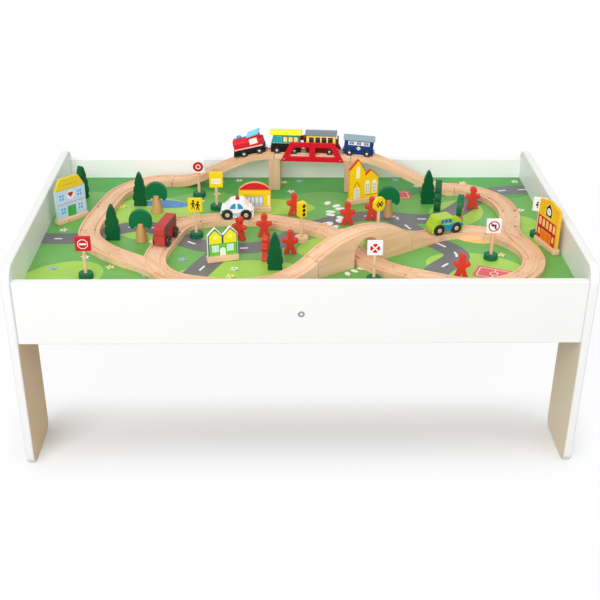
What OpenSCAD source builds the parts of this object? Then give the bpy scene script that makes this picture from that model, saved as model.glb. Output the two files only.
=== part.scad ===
// Train table: a white tray between two end panels, with a printed board, a wooden railway
// with an overpass and an arch bridge, a train, three cars and a small town.
// X runs along the table, Y from front to back and Z up.
// The origin is on the floor, at the middle of the footprint.

/* [Table] */
// Length over the two end panels
table_length = 1000; // [990:1:1100]
// Depth over the end panels' edges
table_depth = 600; // [590:1:700]
// Height of the end panels
table_height = 400; // [380:1:520]
// Thickness of the end panels, aprons and rail
panel_thickness = 15; // [14:0.5:18]
// Radius of the end panels' upper corners
panel_corner_radius = 30; // [20:1:60]
// How far the end panels stand above the aprons
panel_rise = 20; // [10:1:40]
// Width of each leg
leg_width = 133; // [90:1:180]
// Radius of the legs' lower corners
leg_corner_radius = 22; // [5:1:30]
// Height of the cut-out between two legs
cutout_height = 240; // [150:1:245]
// Radius of the cut-out's upper corners
cutout_radius = 40; // [10:1:80]
// Height of the front and back aprons
apron_height = 122; // [115:1:130]
// How far the aprons stand back from the end panels' edges
apron_inset = 5; // [2:1:8]

/* [Board] */
// Depth of the tray, from the aprons' top to the board
tray_depth = 42; // [38:1:50]
// Thickness of the board
board_thickness = 6; // [4:0.5:8]
// Depth of the grooves that hold the board
board_groove = 6; // [4:0.5:8]
// Clearance around the board in its grooves
board_clearance = 0.3; // [0.1:0.1:0.6]
// Height of the rail under the board
rail_height = 60; // [50:1:70]

/* [Fittings] */
// Radius of the connecting bolts
bolt_radius = 3; // [2.5:0.1:3.5]
// Length of the connecting bolts with their heads
bolt_length = 48; // [40:1:60]
// Radius of the bolt heads
bolt_head_radius = 6.5; // [5:0.1:8]
// Height of the bolt heads
bolt_head_height = 3; // [2:0.5:5]
// Radius of the barrel nuts
nut_radius = 5; // [4.5:0.1:5.5]
// Length of the barrel nuts
nut_length = 12; // [10:0.5:13]
// Distance from the bolt head to the barrel nut
nut_reach = 40; // [32:1:45]
// Radius of the dowels
dowel_radius = 4; // [3:0.1:5]
// Length of the dowels
dowel_length = 29; // [24:1:34]
// Clearance around bolts, nuts and dowels in their holes
fitting_clearance = 0.2; // [0.1:0.05:0.4]

/* [Track] */
// Width of the track
track_width = 40; // [38:0.5:42]
// Thickness of the track
track_thickness = 12; // [10:0.5:14]
// Distance from the middle of the track to the middle of a groove
groove_offset = 13; // [12:0.1:13.5]
// Width of each groove
groove_width = 7.5; // [7:0.1:8]
// Depth of each groove
groove_depth = 2.2; // [2:0.1:3]
// Gap between the ends of two pieces
joint_gap = 0.6; // [0.3:0.1:1]
// Width of a peg's neck
peg_neck = 6; // [5:0.1:7]
// Radius of a peg's head
peg_radius = 5.5; // [5:0.1:6]
// Distance from the end of a piece to the middle of its peg's head
peg_reach = 11; // [9:0.5:14]
// Clearance around a peg in its socket
peg_clearance = 0.5; // [0.3:0.1:0.8]

/* [Overpass] */
// Length of the deck between the middles of the two piers
deck_length = 158; // [150:1:170]
// Run of each ramp, from its foot to the deck
ramp_run = 218; // [205:1:225]
// Height of the piers
pier_height = 68; // [55:1:75]
// Width of the piers along the track
pier_width = 24; // [20:1:30]
// Level stretch at the foot of a ramp
ramp_foot_run = 12; // [6:1:20]
// Level stretch at the top of a ramp
ramp_top_run = 4; // [2:1:8]
// Radius of the upper bend of a ramp
ramp_top_radius = 170; // [150:1:180]
// Radius of the lower bend of a ramp
ramp_foot_radius = 90; // [70:1:110]
// Gap between a pier and the track on it
pier_gap = 0.25; // [0.2:0.05:0.4]
// Length of the red side plates at their lower edge
side_length = 131; // [120:1:134]
// Length of the red side plates at their upper edge
side_top_length = 90; // [70:1:110]
// Height of the red side plates
side_height = 41; // [38:1:46]
// Thickness of the red side plates
side_thickness = 5; // [3:0.5:7]
// How far the side plates reach below the deck
side_drop = 1.5; // [1:0.5:6]
// Height of the side plates' bands above and below their windows
side_frame = 10.5; // [8:0.5:12]
// Width of the side plates' posts beside their windows
side_post = 13; // [10:0.5:15]

/* [Arch bridge] */
// Length of the arch
arch_length = 212; // [200:1:220]
// Height of the arch's track at its two ends
arch_end_height = 32; // [28:1:36]
// Run of the short ramps at both ends of the arch
arch_ramp_run = 70; // [64:1:76]
// Width of the passage under the arch
passage_width = 56; // [52:1:60]
// Height of the passage under the arch
passage_height = 46; // [42:1:50]

/* [Curves] */
// Radius of the wide curve under the first car
wide_curve_radius = 202; // [196:1:210]
// Turn of the wide curve
wide_curve_turn = 45; // [43:1:47]
// Radius of the curve under the second car
car_curve_radius = 100; // [96:1:104]
// Turn of the curve under the second car
car_curve_turn = 62; // [60:1:64]
// Radius of the curves at the front right corner
corner_radius = 110; // [108:1:112]
// Turn of each curve at the front right corner
corner_turn = 42; // [41:1:43]
// Length of the straight under the wagon
wagon_straight = 76; // [72:1:80]

/* [Vehicles] */
// Radius of the train's wheels
train_wheel_radius = 6.8; // [6:0.1:7.2]
// Radius of the cars' wheels
car_wheel_radius = 10.5; // [9.5:0.1:11]
// Thickness of the wheels
wheel_thickness = 4; // [3:0.1:4.4]
// Radius of the axles
axle_radius = 1.5; // [1.2:0.05:1.8]
// Radial clearance of an axle in its bore
axle_clearance = 0.05; // [0.03:0.01:0.09]
// Gap between the wheels and the bottom of the grooves
wheel_gap = 0.3; // [0.25:0.05:0.4]
// Width of the chassis between the wheels
chassis_width = 20; // [18:0.5:21]
// Height of the train's chassis
chassis_height = 11; // [10.6:0.1:12]
// Gap between a chassis and the top of the track
chassis_lift = 1.2; // [1:0.1:1.6]
// Width of the train's bodies
train_width = 30; // [28:0.5:32]
// Width of the cars' bodies
car_width = 29; // [27:0.5:31]
// Distance between the axles of the engine
engine_wheelbase = 33; // [30:1:35]
// Distance between the axles of a coach
coach_wheelbase = 36; // [34:1:38]
// Distance between the axles of the white car
white_car_wheelbase = 36.5; // [34:0.5:39]
// Distance between the axles of the green car
green_car_wheelbase = 36; // [34:1:38]
// Distance between the axles of the wagon
wagon_wheelbase = 41.5; // [39:0.5:46]

/* [Town] */
// Side of a sign's plate
sign_size = 27; // [24:0.5:32]
// Thickness of a sign's plate
sign_thickness = 6; // [5.5:0.5:9]
// Height of a sign
sign_height = 79; // [70:1:90]
// Radius of a sign's post
post_radius = 3; // [2.6:0.1:3.5]
// Radius of the tenon at the top of a post
tenon_radius = 2; // [1.5:0.1:2.2]
// Radius of a sign's base
sign_base_radius = 13; // [11:0.5:14]
// Height of a sign's base
sign_base_height = 10; // [8:0.5:14]
// Depth that a post sits in its plate and base
post_seat = 7; // [5:0.5:8]
// Thickness of the buildings
building_thickness = 6; // [5:0.5:9]
// Height of the wooden foot under a building
foot_height = 11; // [8:0.5:16]
// Depth of the wooden foot under a building
foot_depth = 14; // [12:0.5:16]
// Thickness of the pointed trees
tree_thickness = 12; // [6:0.5:14]
// Thickness of the round trees' crowns
crown_thickness = 10; // [6:0.5:11]
// Height of a pointed tree
pine_height = 71; // [60:1:80]
// Width of a pointed tree
pine_width = 29; // [24:0.5:32]
// Height of a round tree
round_tree_height = 63.5; // [60:0.5:70]
// Width of a round tree's crown
crown_width = 43; // [38:0.5:46]
// Height of a round tree's trunk
trunk_height = 37; // [34:1:40]
// Thickness of the little people
person_thickness = 11; // [6:0.5:12]
// Height of the little people
person_height = 49; // [42:1:54]

/* [Hidden] */
$fn = 64;
arc_steps = 14;
line_steps = 24;
bend_steps = 10;
over = 1;

// Levels and faces of the table
apron_top = table_height - panel_rise;
apron_bottom = apron_top - apron_height;
board_top = apron_top - tray_depth;
board_bottom = board_top - board_thickness;
inner_half = table_length / 2 - panel_thickness;
apron_outer = table_depth / 2 - apron_inset;
apron_inner = apron_outer - panel_thickness;
apron_middle = (apron_outer + apron_inner) / 2;
lower_bolt_rise = 18;
upper_bolt_rise = 56;
dowel_drop = 20;
bolt_levels = [apron_bottom + lower_bolt_rise, apron_bottom + upper_bolt_rise];
dowel_level = apron_top - dowel_drop;
rail_bolt_level = board_bottom - rail_height / 3.5;
dowel_depth = panel_thickness * 2 / 3;

// Levels of the track
track_top = board_top + track_thickness;
deck_top = track_top + pier_height;

// A pose is [x, y, heading]
function along(p, d) = [p[0] + d * cos(p[2]), p[1] + d * sin(p[2]), p[2]];
function beside(p, d) = [p[0] - d * sin(p[2]), p[1] + d * cos(p[2]), p[2]];
function about(p) = [p[0], p[1], p[2] + 180];
function turned(p, r, a) =
    let (s = sign(a))
    [p[0] + s * r * (sin(p[2] + a) - sin(p[2])), p[1] - s * r * (cos(p[2] + a) - cos(p[2])), p[2] + a];
function wrap(a) = a - 360 * round(a / 360);

// A segment is [pose, radius, turn], or [pose, 0, length] where it is straight
function segment(p, m) =
    let (dx = m[0] - p[0], dy = m[1] - p[1], chord = norm([dx, dy]), half = wrap(atan2(dy, dx) - p[2]))
    abs(half) < 0.3 ? [p, 0, chord] : [p, chord / (2 * sin(abs(half))), 2 * half];
function segment_end(s) = s[1] == 0 ? along(s[0], s[2]) : turned(s[0], s[1], s[2]);
function piece_end(segments) = segment_end(segments[len(segments) - 1]);

// Two arcs that join two poses and share a tangent
function join(p, q) =
    let (
        v = [q[0] - p[0], q[1] - p[1]],
        t1 = [cos(p[2]), sin(p[2])],
        t2 = [cos(q[2]), sin(q[2])],
        vt = v * (t1 + t2),
        k = 1 - t1 * t2,
        d = abs(k) < 0.0001 ? v * v / (2 * vt) : (sqrt(vt * vt + 2 * k * (v * v)) - vt) / (2 * k),
        m = ([p[0], p[1]] + d * t1 + [q[0], q[1]] - d * t2) / 2,
        first = segment(p, m)
    )
    [first, segment(segment_end(first), q)];

// The overpass and the arch bridge lie on two straight lines across the board
overpass_middle = [33, 221, -4.9];
arch_middle = [110, -133, 33];
ramp_far = deck_length / 2 + ramp_run;
arch_far = arch_length / 2 + arch_ramp_run;
left_foot = about(along(overpass_middle, -ramp_far));
right_foot = along(overpass_middle, ramp_far);

// Poses of the joints between the flat pieces, read along each route
left_switch_loop_end = [-340, -121, 320];
left_switch_inner_end = [-257, -102, 76];
left_switch_stem = [-246, -198, 304];
loop_joints = [left_foot, [-352, 199, 234], [-386, 90, 260], [-399, -20, 271], left_switch_loop_end];
front_joints = [left_switch_stem, [-140, -247, -8], along(arch_middle, -arch_far)];
car_curve = [[along(arch_middle, arch_far), car_curve_radius, -car_curve_turn]];
right_switch_car_end = piece_end(car_curve);
wagon_track = [[left_switch_inner_end, 0, wagon_straight]];
wide_curve = [[[-193, 28, 21], wide_curve_radius, -wide_curve_turn]];
inner_joints = [piece_end(wide_curve), [40, -13, -33], [90, -92, -70], [190, -206, -26], [314, -249, 0]];
corner_first = [[inner_joints[4], corner_radius, corner_turn]];
corner_second = [[piece_end(corner_first), corner_radius, corner_turn]];
right_switch_stem = piece_end(corner_second);
right_switch_loop_end = [407, -4, 78];
back_joints = [right_switch_loop_end, [419, 70, 92], [402, 143, 121], about(right_foot)];

curve_pieces = concat(
    [for (i = [0:3]) join(loop_joints[i], loop_joints[i + 1])],
    [for (i = [0:1]) join(front_joints[i], front_joints[i + 1])],
    [for (i = [0:3]) join(inner_joints[i], inner_joints[i + 1])],
    [for (i = [0:2]) join(back_joints[i], back_joints[i + 1])],
    [join(piece_end(wagon_track), wide_curve[0][0]), wide_curve, car_curve, corner_first, corner_second]
);

// Shape of the ramps
ramp_radii = ramp_top_radius + ramp_foot_radius;
ramp_level_run = ramp_run - ramp_foot_run - ramp_top_run;
ramp_slope = asin(ramp_radii / norm([ramp_level_run, ramp_radii - pier_height]))
    - atan2(ramp_radii - pier_height, ramp_level_run);
arch_slope = 2 * atan((arch_end_height - track_thickness) / arch_ramp_run);
arch_radius = arch_length / 2 / sin(arch_slope);
arch_ramp_radius = arch_ramp_run / sin(arch_slope);
arch_centre_level = arch_end_height - arch_radius * cos(arch_slope);

// Places of the vehicles along their tracks
arc_centre_out = deck_length / 2 + ramp_top_run;
second_coach_place = 17;
first_coach_pitch = 73;
engine_pitch = 70;
third_coach_pitch = 76.9;
third_coach_least_turn = 3.67;
first_coach_place = second_coach_place - first_coach_pitch;
engine_place = first_coach_place - engine_pitch;
third_coach_place = second_coach_place + third_coach_pitch;
function bend_turn(place) = (abs(place) - arc_centre_out) / ramp_top_radius * 180 / PI;
engine_turn = bend_turn(engine_place);
third_coach_turn = max(third_coach_least_turn, bend_turn(third_coach_place));
white_car_turn = 21.2;
green_car_turn = 12.5;
wagon_place = 34.5;

// Levels of the vehicles above the track
train_axle_level = train_wheel_radius - groove_depth + wheel_gap;
car_axle_level = car_wheel_radius - groove_depth + wheel_gap;
body_level = chassis_lift + chassis_height;
function sagitta(r, chord) = r - sqrt(r * r - chord * chord / 4);

// Places of the town, as x, y and turn
hospital_place = [-444.5, 51, 44];
station_place = [-86, 95, 0];
chapel_place = [134, 140, 19];
twin_house_place = [-140, -132, 16];
fire_station_place = [463, -80, -73];
sign_places = [
    [-377, -200, 2], [-203, 174, 0], [-163, 107, 0], [-195, -28, 0], [5, -48, 35],
    [151, -25, 36], [128, -219, 0], [350, -127, 0], [456, -28, -20]
];
octagon_sign = 5;
light_sign = 4;
label_sign = 2;
pine_places = [
    [-441, 161, 60], [-319, 126, 0], [-352, -40, 0], [-45, -169, 0], [266, 135, 0], [279, 84, 75]
];
round_tree_places = [[-282, 92, 0], [-297, -46, 0], [179.5, 68, 0], [314, 24, 75]];
trunk_foot_radii = [12, 12, 9.5, 9.5];
person_places = [
    [-8, 74, 0], [-112, -41, -40], [-66, -27, 0], [-62, -128, 78], [-17, -103, 0],
    [96, 29, 0], [146, 55, 0], [354, 108, 0], [284, -203, 0]
];

// Points along an arc
function arc(centre, r, from, to, steps = arc_steps) =
    [for (i = [0:steps]) let (a = from + (to - from) * i / steps) centre + r * [cos(a), sin(a)]];
function backwards(list) = [for (i = [len(list) - 1:-1:0]) list[i]];
function mirrored(list) = [for (p = backwards(list)) [-p[0], p[1]]];

module at(pose, level = 0) {
    translate([pose[0], pose[1], level]) rotate([0, 0, pose[2]]) children();
}

// Stands a side view upright, with its middle plane at y = 0
module upright(thickness) {
    rotate([90, 0, 0]) translate([0, 0, -thickness / 2]) linear_extrude(thickness) children();
}

// A block from low to high corner
module block(low, high) {
    translate(low) cube(high - low);
}

// Outline of an end panel, seen along the table
function panel_outline() =
    let (
        half = table_depth / 2,
        r = leg_corner_radius,
        inside = half - leg_width,
        c = cutout_radius,
        k = panel_corner_radius,
        back = concat(
            backwards(arc([inside - c, cutout_height - c], c, 0, 90)),
            arc([inside + r, r], r, 180, 270),
            arc([half - r, r], r, 270, 360),
            arc([half - k, table_height - k], k, 0, 90)
        )
    )
    concat(back, mirrored(back));

module end_panel(side) {
    difference() {
        translate([side > 0 ? inner_half : -table_length / 2, 0, 0])
            rotate([90, 0, 90]) linear_extrude(panel_thickness) polygon(panel_outline());
        board_shape(board_clearance);
        end_bolt_shapes(fitting_clearance);
        dowel_shapes(fitting_clearance);
    }
}
module left_end_panel() {
    color("white") end_panel(-1);
}
module right_end_panel() {
    color("white") end_panel(1);
}

module apron(side) {
    difference() {
        block(
            [-inner_half, side > 0 ? apron_inner : -apron_outer, apron_bottom],
            [inner_half, side > 0 ? apron_outer : -apron_inner, apron_top]
        );
        board_shape(board_clearance);
        end_bolt_shapes(fitting_clearance);
        dowel_shapes(fitting_clearance);
        rail_bolt_shapes(fitting_clearance);
        end_nut_shapes(fitting_clearance);
    }
}
module front_apron() {
    color("white") apron(-1);
}
module back_apron() {
    color("white") apron(1);
}

module board_shape(grow) {
    reach = board_groove + grow;
    block(
        [-inner_half - reach, -apron_inner - reach, board_bottom],
        [inner_half + reach, apron_inner + reach, board_top + grow]
    );
}
module play_board() {
    color("limegreen") board_shape(0);
}

module centre_rail() {
    color("white") difference() {
        block(
            [-panel_thickness / 2, -apron_inner, board_bottom - rail_height],
            [panel_thickness / 2, apron_inner, board_bottom]
        );
        rail_bolt_shapes(fitting_clearance);
        rail_nut_shapes(fitting_clearance);
    }
}

// Connecting bolts point along +Z from the face that their heads are flush with
module bolt_shape(grow) {
    translate([0, 0, grow > 0 ? -over : 0])
        cylinder(r = bolt_head_radius + grow, h = bolt_head_height + (grow > 0 ? over : 0));
    cylinder(r = bolt_radius + grow, h = bolt_length + grow);
}
module at_end_joints(levels) {
    for (side = [-1, 1], face = [-1, 1], level = levels)
        translate([side * table_length / 2, face * apron_middle, level])
            rotate([0, -side * 90, 0]) children();
}
module end_bolt_shapes(grow) {
    at_end_joints(bolt_levels) bolt_shape(grow);
}
module rail_bolt_shapes(grow) {
    for (face = [-1, 1])
        translate([0, face * apron_outer, rail_bolt_level]) rotate([face * 90, 0, 0]) bolt_shape(grow);
}
module connecting_bolts() {
    color("silver") difference() {
        union() {
            end_bolt_shapes(0);
            rail_bolt_shapes(0);
        }
        at_end_joints(bolt_levels) hex_recess();
        for (face = [-1, 1])
            translate([0, face * apron_outer, rail_bolt_level]) rotate([face * 90, 0, 0]) hex_recess();
    }
}
module hex_recess() {
    translate([0, 0, -over]) cylinder(r = bolt_radius * 0.7, h = bolt_head_height * 0.7 + over, $fn = 6);
}

// Barrel nuts lie across the bolts, flush with the inner faces
module nut_shape(grow) {
    translate([0, 0, grow > 0 ? -over : 0])
        cylinder(r = nut_radius + grow, h = nut_length + grow + (grow > 0 ? over : 0));
}
module end_nut_shapes(grow) {
    for (side = [-1, 1], face = [-1, 1], level = bolt_levels)
        translate([side * (table_length / 2 - nut_reach), face * apron_inner, level])
            rotate([-face * 90, 0, 0]) nut_shape(grow);
}
module rail_nut_shapes(grow) {
    for (face = [-1, 1])
        translate([panel_thickness / 2, face * (apron_outer - nut_reach), rail_bolt_level])
            rotate([0, -90, 0]) nut_shape(grow);
}
module barrel_nuts() {
    color("silver") difference() {
        union() {
            end_nut_shapes(0);
            rail_nut_shapes(0);
        }
        end_bolt_shapes(axle_clearance);
        rail_bolt_shapes(axle_clearance);
    }
}

// Dowels reach from the end panels into the aprons
module dowel_shapes(grow) {
    for (side = [-1, 1], face = [-1, 1])
        translate([side * (inner_half + dowel_depth + grow), face * apron_middle, dowel_level])
            rotate([0, -side * 90, 0]) cylinder(r = dowel_radius + grow, h = dowel_length + 2 * grow);
}
module dowels() {
    color("burlywood") dowel_shapes(0);
}

// Cross-section of the track
module track_section() {
    half = track_width / 2;
    t = track_thickness;
    inner = groove_offset - groove_width / 2;
    outer = groove_offset + groove_width / 2;
    right = [
        [half, 0], [half, t], [outer, t], [outer, t - groove_depth], [inner, t - groove_depth], [inner, t]
    ];
    polygon(concat(right, mirrored(right)));
}

// A strip of a route, which is a list of segments, between two distances to its left
function edge_point(p, d) = let (q = beside(p, d)) [q[0], q[1]];
function segment_edge(s, d, first) =
    [for (i = [first:bend_steps]) let (k = s[2] * i / bend_steps)
        edge_point(s[1] == 0 ? along(s[0], k) : turned(s[0], s[1], k), d)];
function route_edge(route, d) =
    len(route) == 1 ? segment_edge(route[0], d, 0)
        : concat(segment_edge(route[0], d, 0), segment_edge(route[1], d, 1));
module strip(route, low, high) {
    polygon(concat(route_edge(route, low), backwards(route_edge(route, high))));
}

// A peg points along +X from the end of a piece, and fits the socket of the next one
module peg_outline() {
    translate([-peg_radius, -peg_neck / 2]) square([peg_radius + peg_reach, peg_neck]);
    translate([peg_reach, 0]) circle(peg_radius);
}
module socket_outline() {
    neck = peg_neck + 2 * peg_clearance;
    translate([-over, -neck / 2]) square([peg_reach + over, neck]);
    translate([peg_reach, 0]) circle(peg_radius + peg_clearance);
}
module trim_outline() {
    translate([-joint_gap, -track_width]) square([joint_gap + over, 2 * track_width]);
}
module peg() {
    linear_extrude(track_thickness) peg_outline();
}
module socket() {
    translate([0, 0, -over]) linear_extrude(track_thickness + 2 * over) socket_outline();
}
module end_trim() {
    translate([0, 0, -over]) linear_extrude(track_thickness + 2 * over) trim_outline();
}

// A flat piece of one or two routes, with sockets and pegs at the poses that are given
module flat_piece(routes, sockets, pegs) {
    half = groove_width / 2;
    translate([0, 0, board_top]) difference() {
        linear_extrude(track_thickness) {
            difference() {
                for (route = routes) strip(route, -track_width / 2, track_width / 2);
                for (p = sockets) at(p) socket_outline();
                for (p = pegs) at(p) trim_outline();
            }
            for (p = pegs) at(p) peg_outline();
        }
        translate([0, 0, track_thickness - groove_depth]) linear_extrude(groove_depth + over)
            for (route = routes, side = [-1, 1])
                strip(route, side * groove_offset - half, side * groove_offset + half);
    }
}
module flat_tracks() {
    color("burlywood") {
        for (route = curve_pieces) flat_piece([route], [route[0][0]], [piece_end(route)]);
        flat_piece([wagon_track], [wagon_track[0][0]], [piece_end(wagon_track)]);
    }
}

// A switch joins two routes at a shared stem
module left_switch() {
    stem_back = about(left_switch_stem);
    routes = [join(stem_back, about(left_switch_loop_end)), join(stem_back, left_switch_inner_end)];
    flat_piece(routes, [left_switch_loop_end], [left_switch_inner_end, left_switch_stem]);
}
module right_switch() {
    stem = right_switch_stem;
    routes = [join(stem, right_switch_loop_end), join(stem, about(right_switch_car_end))];
    flat_piece(routes, [stem, right_switch_car_end], [right_switch_loop_end]);
}
module switch_tracks() {
    color("burlywood") {
        left_switch();
        right_switch();
    }
}

// A line at a depth below a ramp's running face, from its foot to its top
function ramp_line(depth) =
    let (
        low = ramp_foot_radius + depth,
        high = ramp_top_radius - depth,
        t = track_thickness,
        out = ramp_run - ramp_top_run,
        top = t + pier_height
    )
    concat(
        [[0, t - depth]],
        [for (i = [0:line_steps]) let (a = ramp_slope * i / line_steps)
            [ramp_foot_run + low * sin(a), t + ramp_foot_radius - low * cos(a)]],
        [for (i = [line_steps:-1:0]) let (a = ramp_slope * i / line_steps)
            [out - high * sin(a), top - ramp_top_radius + high * cos(a)]],
        [[ramp_run, top - depth]]
    );
module groove_bands(upper, lower) {
    for (side = [-1, 1])
        translate([0, side * groove_offset, 0])
            upright(groove_width) polygon(concat(lower, backwards(upper)));
}
module ramp() {
    difference() {
        upright(track_width) polygon(concat(ramp_line(track_thickness), backwards(ramp_line(0))));
        groove_bands(ramp_line(-over), ramp_line(groove_depth));
        children();
    }
}
module on_overpass(place, level = board_top) {
    at(along(overpass_middle, place), level) children();
}
module overpass_ramps() {
    color("burlywood") {
        on_overpass(-ramp_far) ramp() {
            end_trim();
            translate([ramp_run, 0, pier_height]) rotate([0, 0, 180]) socket();
        }
        on_overpass(-ramp_far) rotate([0, 0, 180]) peg();
        on_overpass(ramp_far) rotate([0, 0, 180]) ramp() {
            socket();
            translate([ramp_run, 0, pier_height]) end_trim();
        }
        on_overpass(deck_length / 2, board_top + pier_height) rotate([0, 0, 180]) peg();
    }
}
module overpass_deck() {
    color("burlywood") on_overpass(-deck_length / 2, board_top + pier_height) {
        difference() {
            rotate([90, 0, 90]) linear_extrude(deck_length) track_section();
            rotate([0, 0, 180]) end_trim();
            translate([deck_length, 0, 0]) rotate([0, 0, 180]) socket();
        }
        rotate([0, 0, 180]) peg();
    }
}
module overpass_piers() {
    color("burlywood") for (side = [-1, 1])
        on_overpass(side * deck_length / 2)
            block(
                [-pier_width / 2, -track_width / 2, 0],
                [pier_width / 2, track_width / 2, pier_height - pier_gap]
            );
}

// Side plate of the overpass, with two windows
module side_plate_outline() {
    slant = (side_length - side_top_length) / 2 / side_height;
    low = side_frame;
    high = side_height - side_frame;
    middle = side_post / 2;
    outer = side_length / 2 - side_post;
    difference() {
        polygon([
            [-side_length / 2, 0], [side_length / 2, 0],
            [side_top_length / 2, side_height], [-side_top_length / 2, side_height]
        ]);
        for (side = [0, 1])
            mirror([side, 0])
                polygon([
                    [middle, low], [outer - slant * low, low], [outer - slant * high, high], [middle, high]
                ]);
    }
}
module bridge_sides() {
    color("crimson") for (side = [-1, 1])
        on_overpass(0, board_top + pier_height - side_drop)
            translate([0, side * (track_width + side_thickness) / 2, 0])
                upright(side_thickness) side_plate_outline();
}

// A line at a depth below the arch's running face
function arch_line(depth) =
    [for (i = [-line_steps:line_steps]) let (a = arch_slope * i / line_steps)
        [(arch_radius - depth) * sin(a), arch_centre_level + (arch_radius - depth) * cos(a)]];
function arch_ramp_line(depth) =
    let (r = arch_ramp_radius + depth)
    [for (i = [0:line_steps]) let (a = arch_slope * i / line_steps)
        [r * sin(a), track_thickness + arch_ramp_radius - r * cos(a)]];
module passage_outline() {
    half = passage_width / 2;
    polygon(concat(
        [[-half, -over], [half, -over]],
        arc([0, passage_height - half], half, 0, 180, 2 * arc_steps)
    ));
}
module arch_bridge() {
    half = arch_length / 2;
    color("burlywood") at(arch_middle, board_top) {
        difference() {
            upright(track_width) polygon(concat([[-half, 0], [half, 0]], backwards(arch_line(0))));
            groove_bands(arch_line(-over), arch_line(groove_depth));
            upright(track_width + 2 * over) passage_outline();
            translate([half, 0, 0])
                block([-joint_gap, -track_width, -over], [over, track_width, arch_end_height + over]);
            translate([-half, 0, 0]) socket();
        }
        translate([half, 0, 0]) peg();
    }
}
module arch_ramp() {
    difference() {
        upright(track_width)
            polygon(concat([[0, 0], [arch_ramp_run, 0]], backwards(arch_ramp_line(0))));
        groove_bands(arch_ramp_line(-over), arch_ramp_line(groove_depth));
        children();
    }
}
module arch_ramps() {
    tall_trim = arch_end_height + over;
    color("burlywood") {
        at(along(arch_middle, -arch_far), board_top) {
            arch_ramp() {
                socket();
                translate([arch_ramp_run, 0, 0])
                    block([-joint_gap, -track_width, -over], [over, track_width, tall_trim]);
            }
            translate([arch_ramp_run, 0, 0]) peg();
        }
        at(about(along(arch_middle, arch_far)), board_top) {
            arch_ramp() {
                translate([arch_ramp_run, 0, 0]) rotate([0, 0, 180]) socket();
                block([-over, -track_width, -over], [joint_gap, track_width, tall_trim]);
            }
            rotate([0, 0, 180]) peg();
        }
    }
}

// Two wheels on an axle, which lies along Y
module wheelset(r) {
    half = wheel_thickness / 2;
    outside = groove_offset + half;
    rim = wheel_thickness / 4;
    rotate([90, 0, 0]) {
        translate([0, 0, -outside - rim]) cylinder(r = axle_radius, h = 2 * (outside + rim));
        for (side = [-1, 1])
            translate([0, 0, side * groove_offset])
                rotate_extrude()
                    polygon([
                        [0, -half], [r - rim, -half], [r, rim - half],
                        [r, half - rim], [r - rim, half], [0, half]
                    ]);
    }
}
module axle_bores(wheelbase, level) {
    for (end = [-1, 1])
        translate([end * wheelbase / 2, car_width, level])
            rotate([90, 0, 0]) cylinder(r = axle_radius + axle_clearance, h = 2 * car_width);
}
module wheels_at(end, wheelbase, level, r) {
    translate([end * wheelbase / 2, 0, level]) wheelset(r);
}

// Frames of the vehicles: x along the track, z from its running face
module on_left_bend() {
    r = ramp_top_radius;
    on_overpass(-arc_centre_out, deck_top - r) rotate([0, -engine_turn, 0])
        translate([0, 0, r - sagitta(r, engine_wheelbase)]) children();
}
module on_right_bend() {
    r = ramp_top_radius;
    on_overpass(arc_centre_out, deck_top - r) rotate([0, third_coach_turn, 0])
        translate([0, 0, r - sagitta(r, coach_wheelbase)]) children();
}
module on_wide_curve() {
    s = wide_curve[0];
    inward = sagitta(wide_curve_radius, white_car_wheelbase);
    at(beside(turned(s[0], s[1], -white_car_turn), -inward), track_top) children();
}
module on_car_curve() {
    s = car_curve[0];
    inward = sagitta(car_curve_radius, green_car_wheelbase);
    at(beside(turned(s[0], s[1], -green_car_turn), -inward), track_top) children();
}
module on_wagon_track() {
    at(along(wagon_track[0][0], wagon_place), track_top) children();
}

// A chassis with a magnet at each end that is asked for
module chassis(front, back, wheelbase) {
    difference() {
        block([front, -chassis_width / 2, chassis_lift], [back, chassis_width / 2, body_level]);
        axle_bores(wheelbase, train_axle_level);
    }
}
magnet_radius = 4;
magnet_length = 4;
magnet_level = 7.2;
module magnet(place, way) {
    translate([place, 0, magnet_level]) rotate([0, way * 90, 0])
        cylinder(r = magnet_radius, h = magnet_length);
}

// Engine, which faces along -X
engine_front = -34;
engine_back = 28;
boiler_back = -1;
boiler_height = 21;
cab_height = 23;
cab_pitch = 0.14;
cab_roof_height = 3.5;
chimney_place = -20;
function cab_line(x) = cab_height + cab_pitch * (x - boiler_back);
module boiler_outline() {
    half = train_width / 2;
    r = half * 0.6;
    polygon(concat(
        [[-half, 0], [half, 0]],
        arc([half - r, boiler_height - r], r, 0, 90),
        arc([r - half, boiler_height - r], r, 90, 180)
    ));
}
module engine_body() {
    color("crimson") on_left_bend() translate([0, 0, body_level]) {
        translate([engine_front, 0, 0]) rotate([90, 0, 90])
            linear_extrude(boiler_back - engine_front) boiler_outline();
        upright(train_width)
            polygon([
                [boiler_back, 0], [engine_back, 0],
                [engine_back, cab_line(engine_back)], [boiler_back, cab_height]
            ]);
    }
}
module engine_chassis() {
    color("black") on_left_bend() {
        chassis(engine_front - 6, engine_back + 1, engine_wheelbase);
        magnet(engine_back + 1, 1);
    }
}
module engine_cab_roof() {
    low = boiler_back - 1.5;
    high = engine_back - 3.5;
    color("deepskyblue") on_left_bend() translate([0, 0, body_level])
        upright(train_width + 3)
            polygon([
                [low, cab_line(low)], [high, cab_line(high)],
                [high, cab_line(high) + cab_roof_height], [low, cab_line(low) + cab_roof_height]
            ]);
}
module engine_chimney() {
    color("deepskyblue") on_left_bend() translate([chimney_place, 0, body_level + boiler_height])
        rotate_extrude() polygon([[0, 0], [4, 0], [5.2, 2], [5.2, 5], [4, 6.5], [0, 6.5]]);
}
module engine_front_wheels() {
    color("dimgray") on_left_bend() wheels_at(-1, engine_wheelbase, train_axle_level, train_wheel_radius);
}
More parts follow.
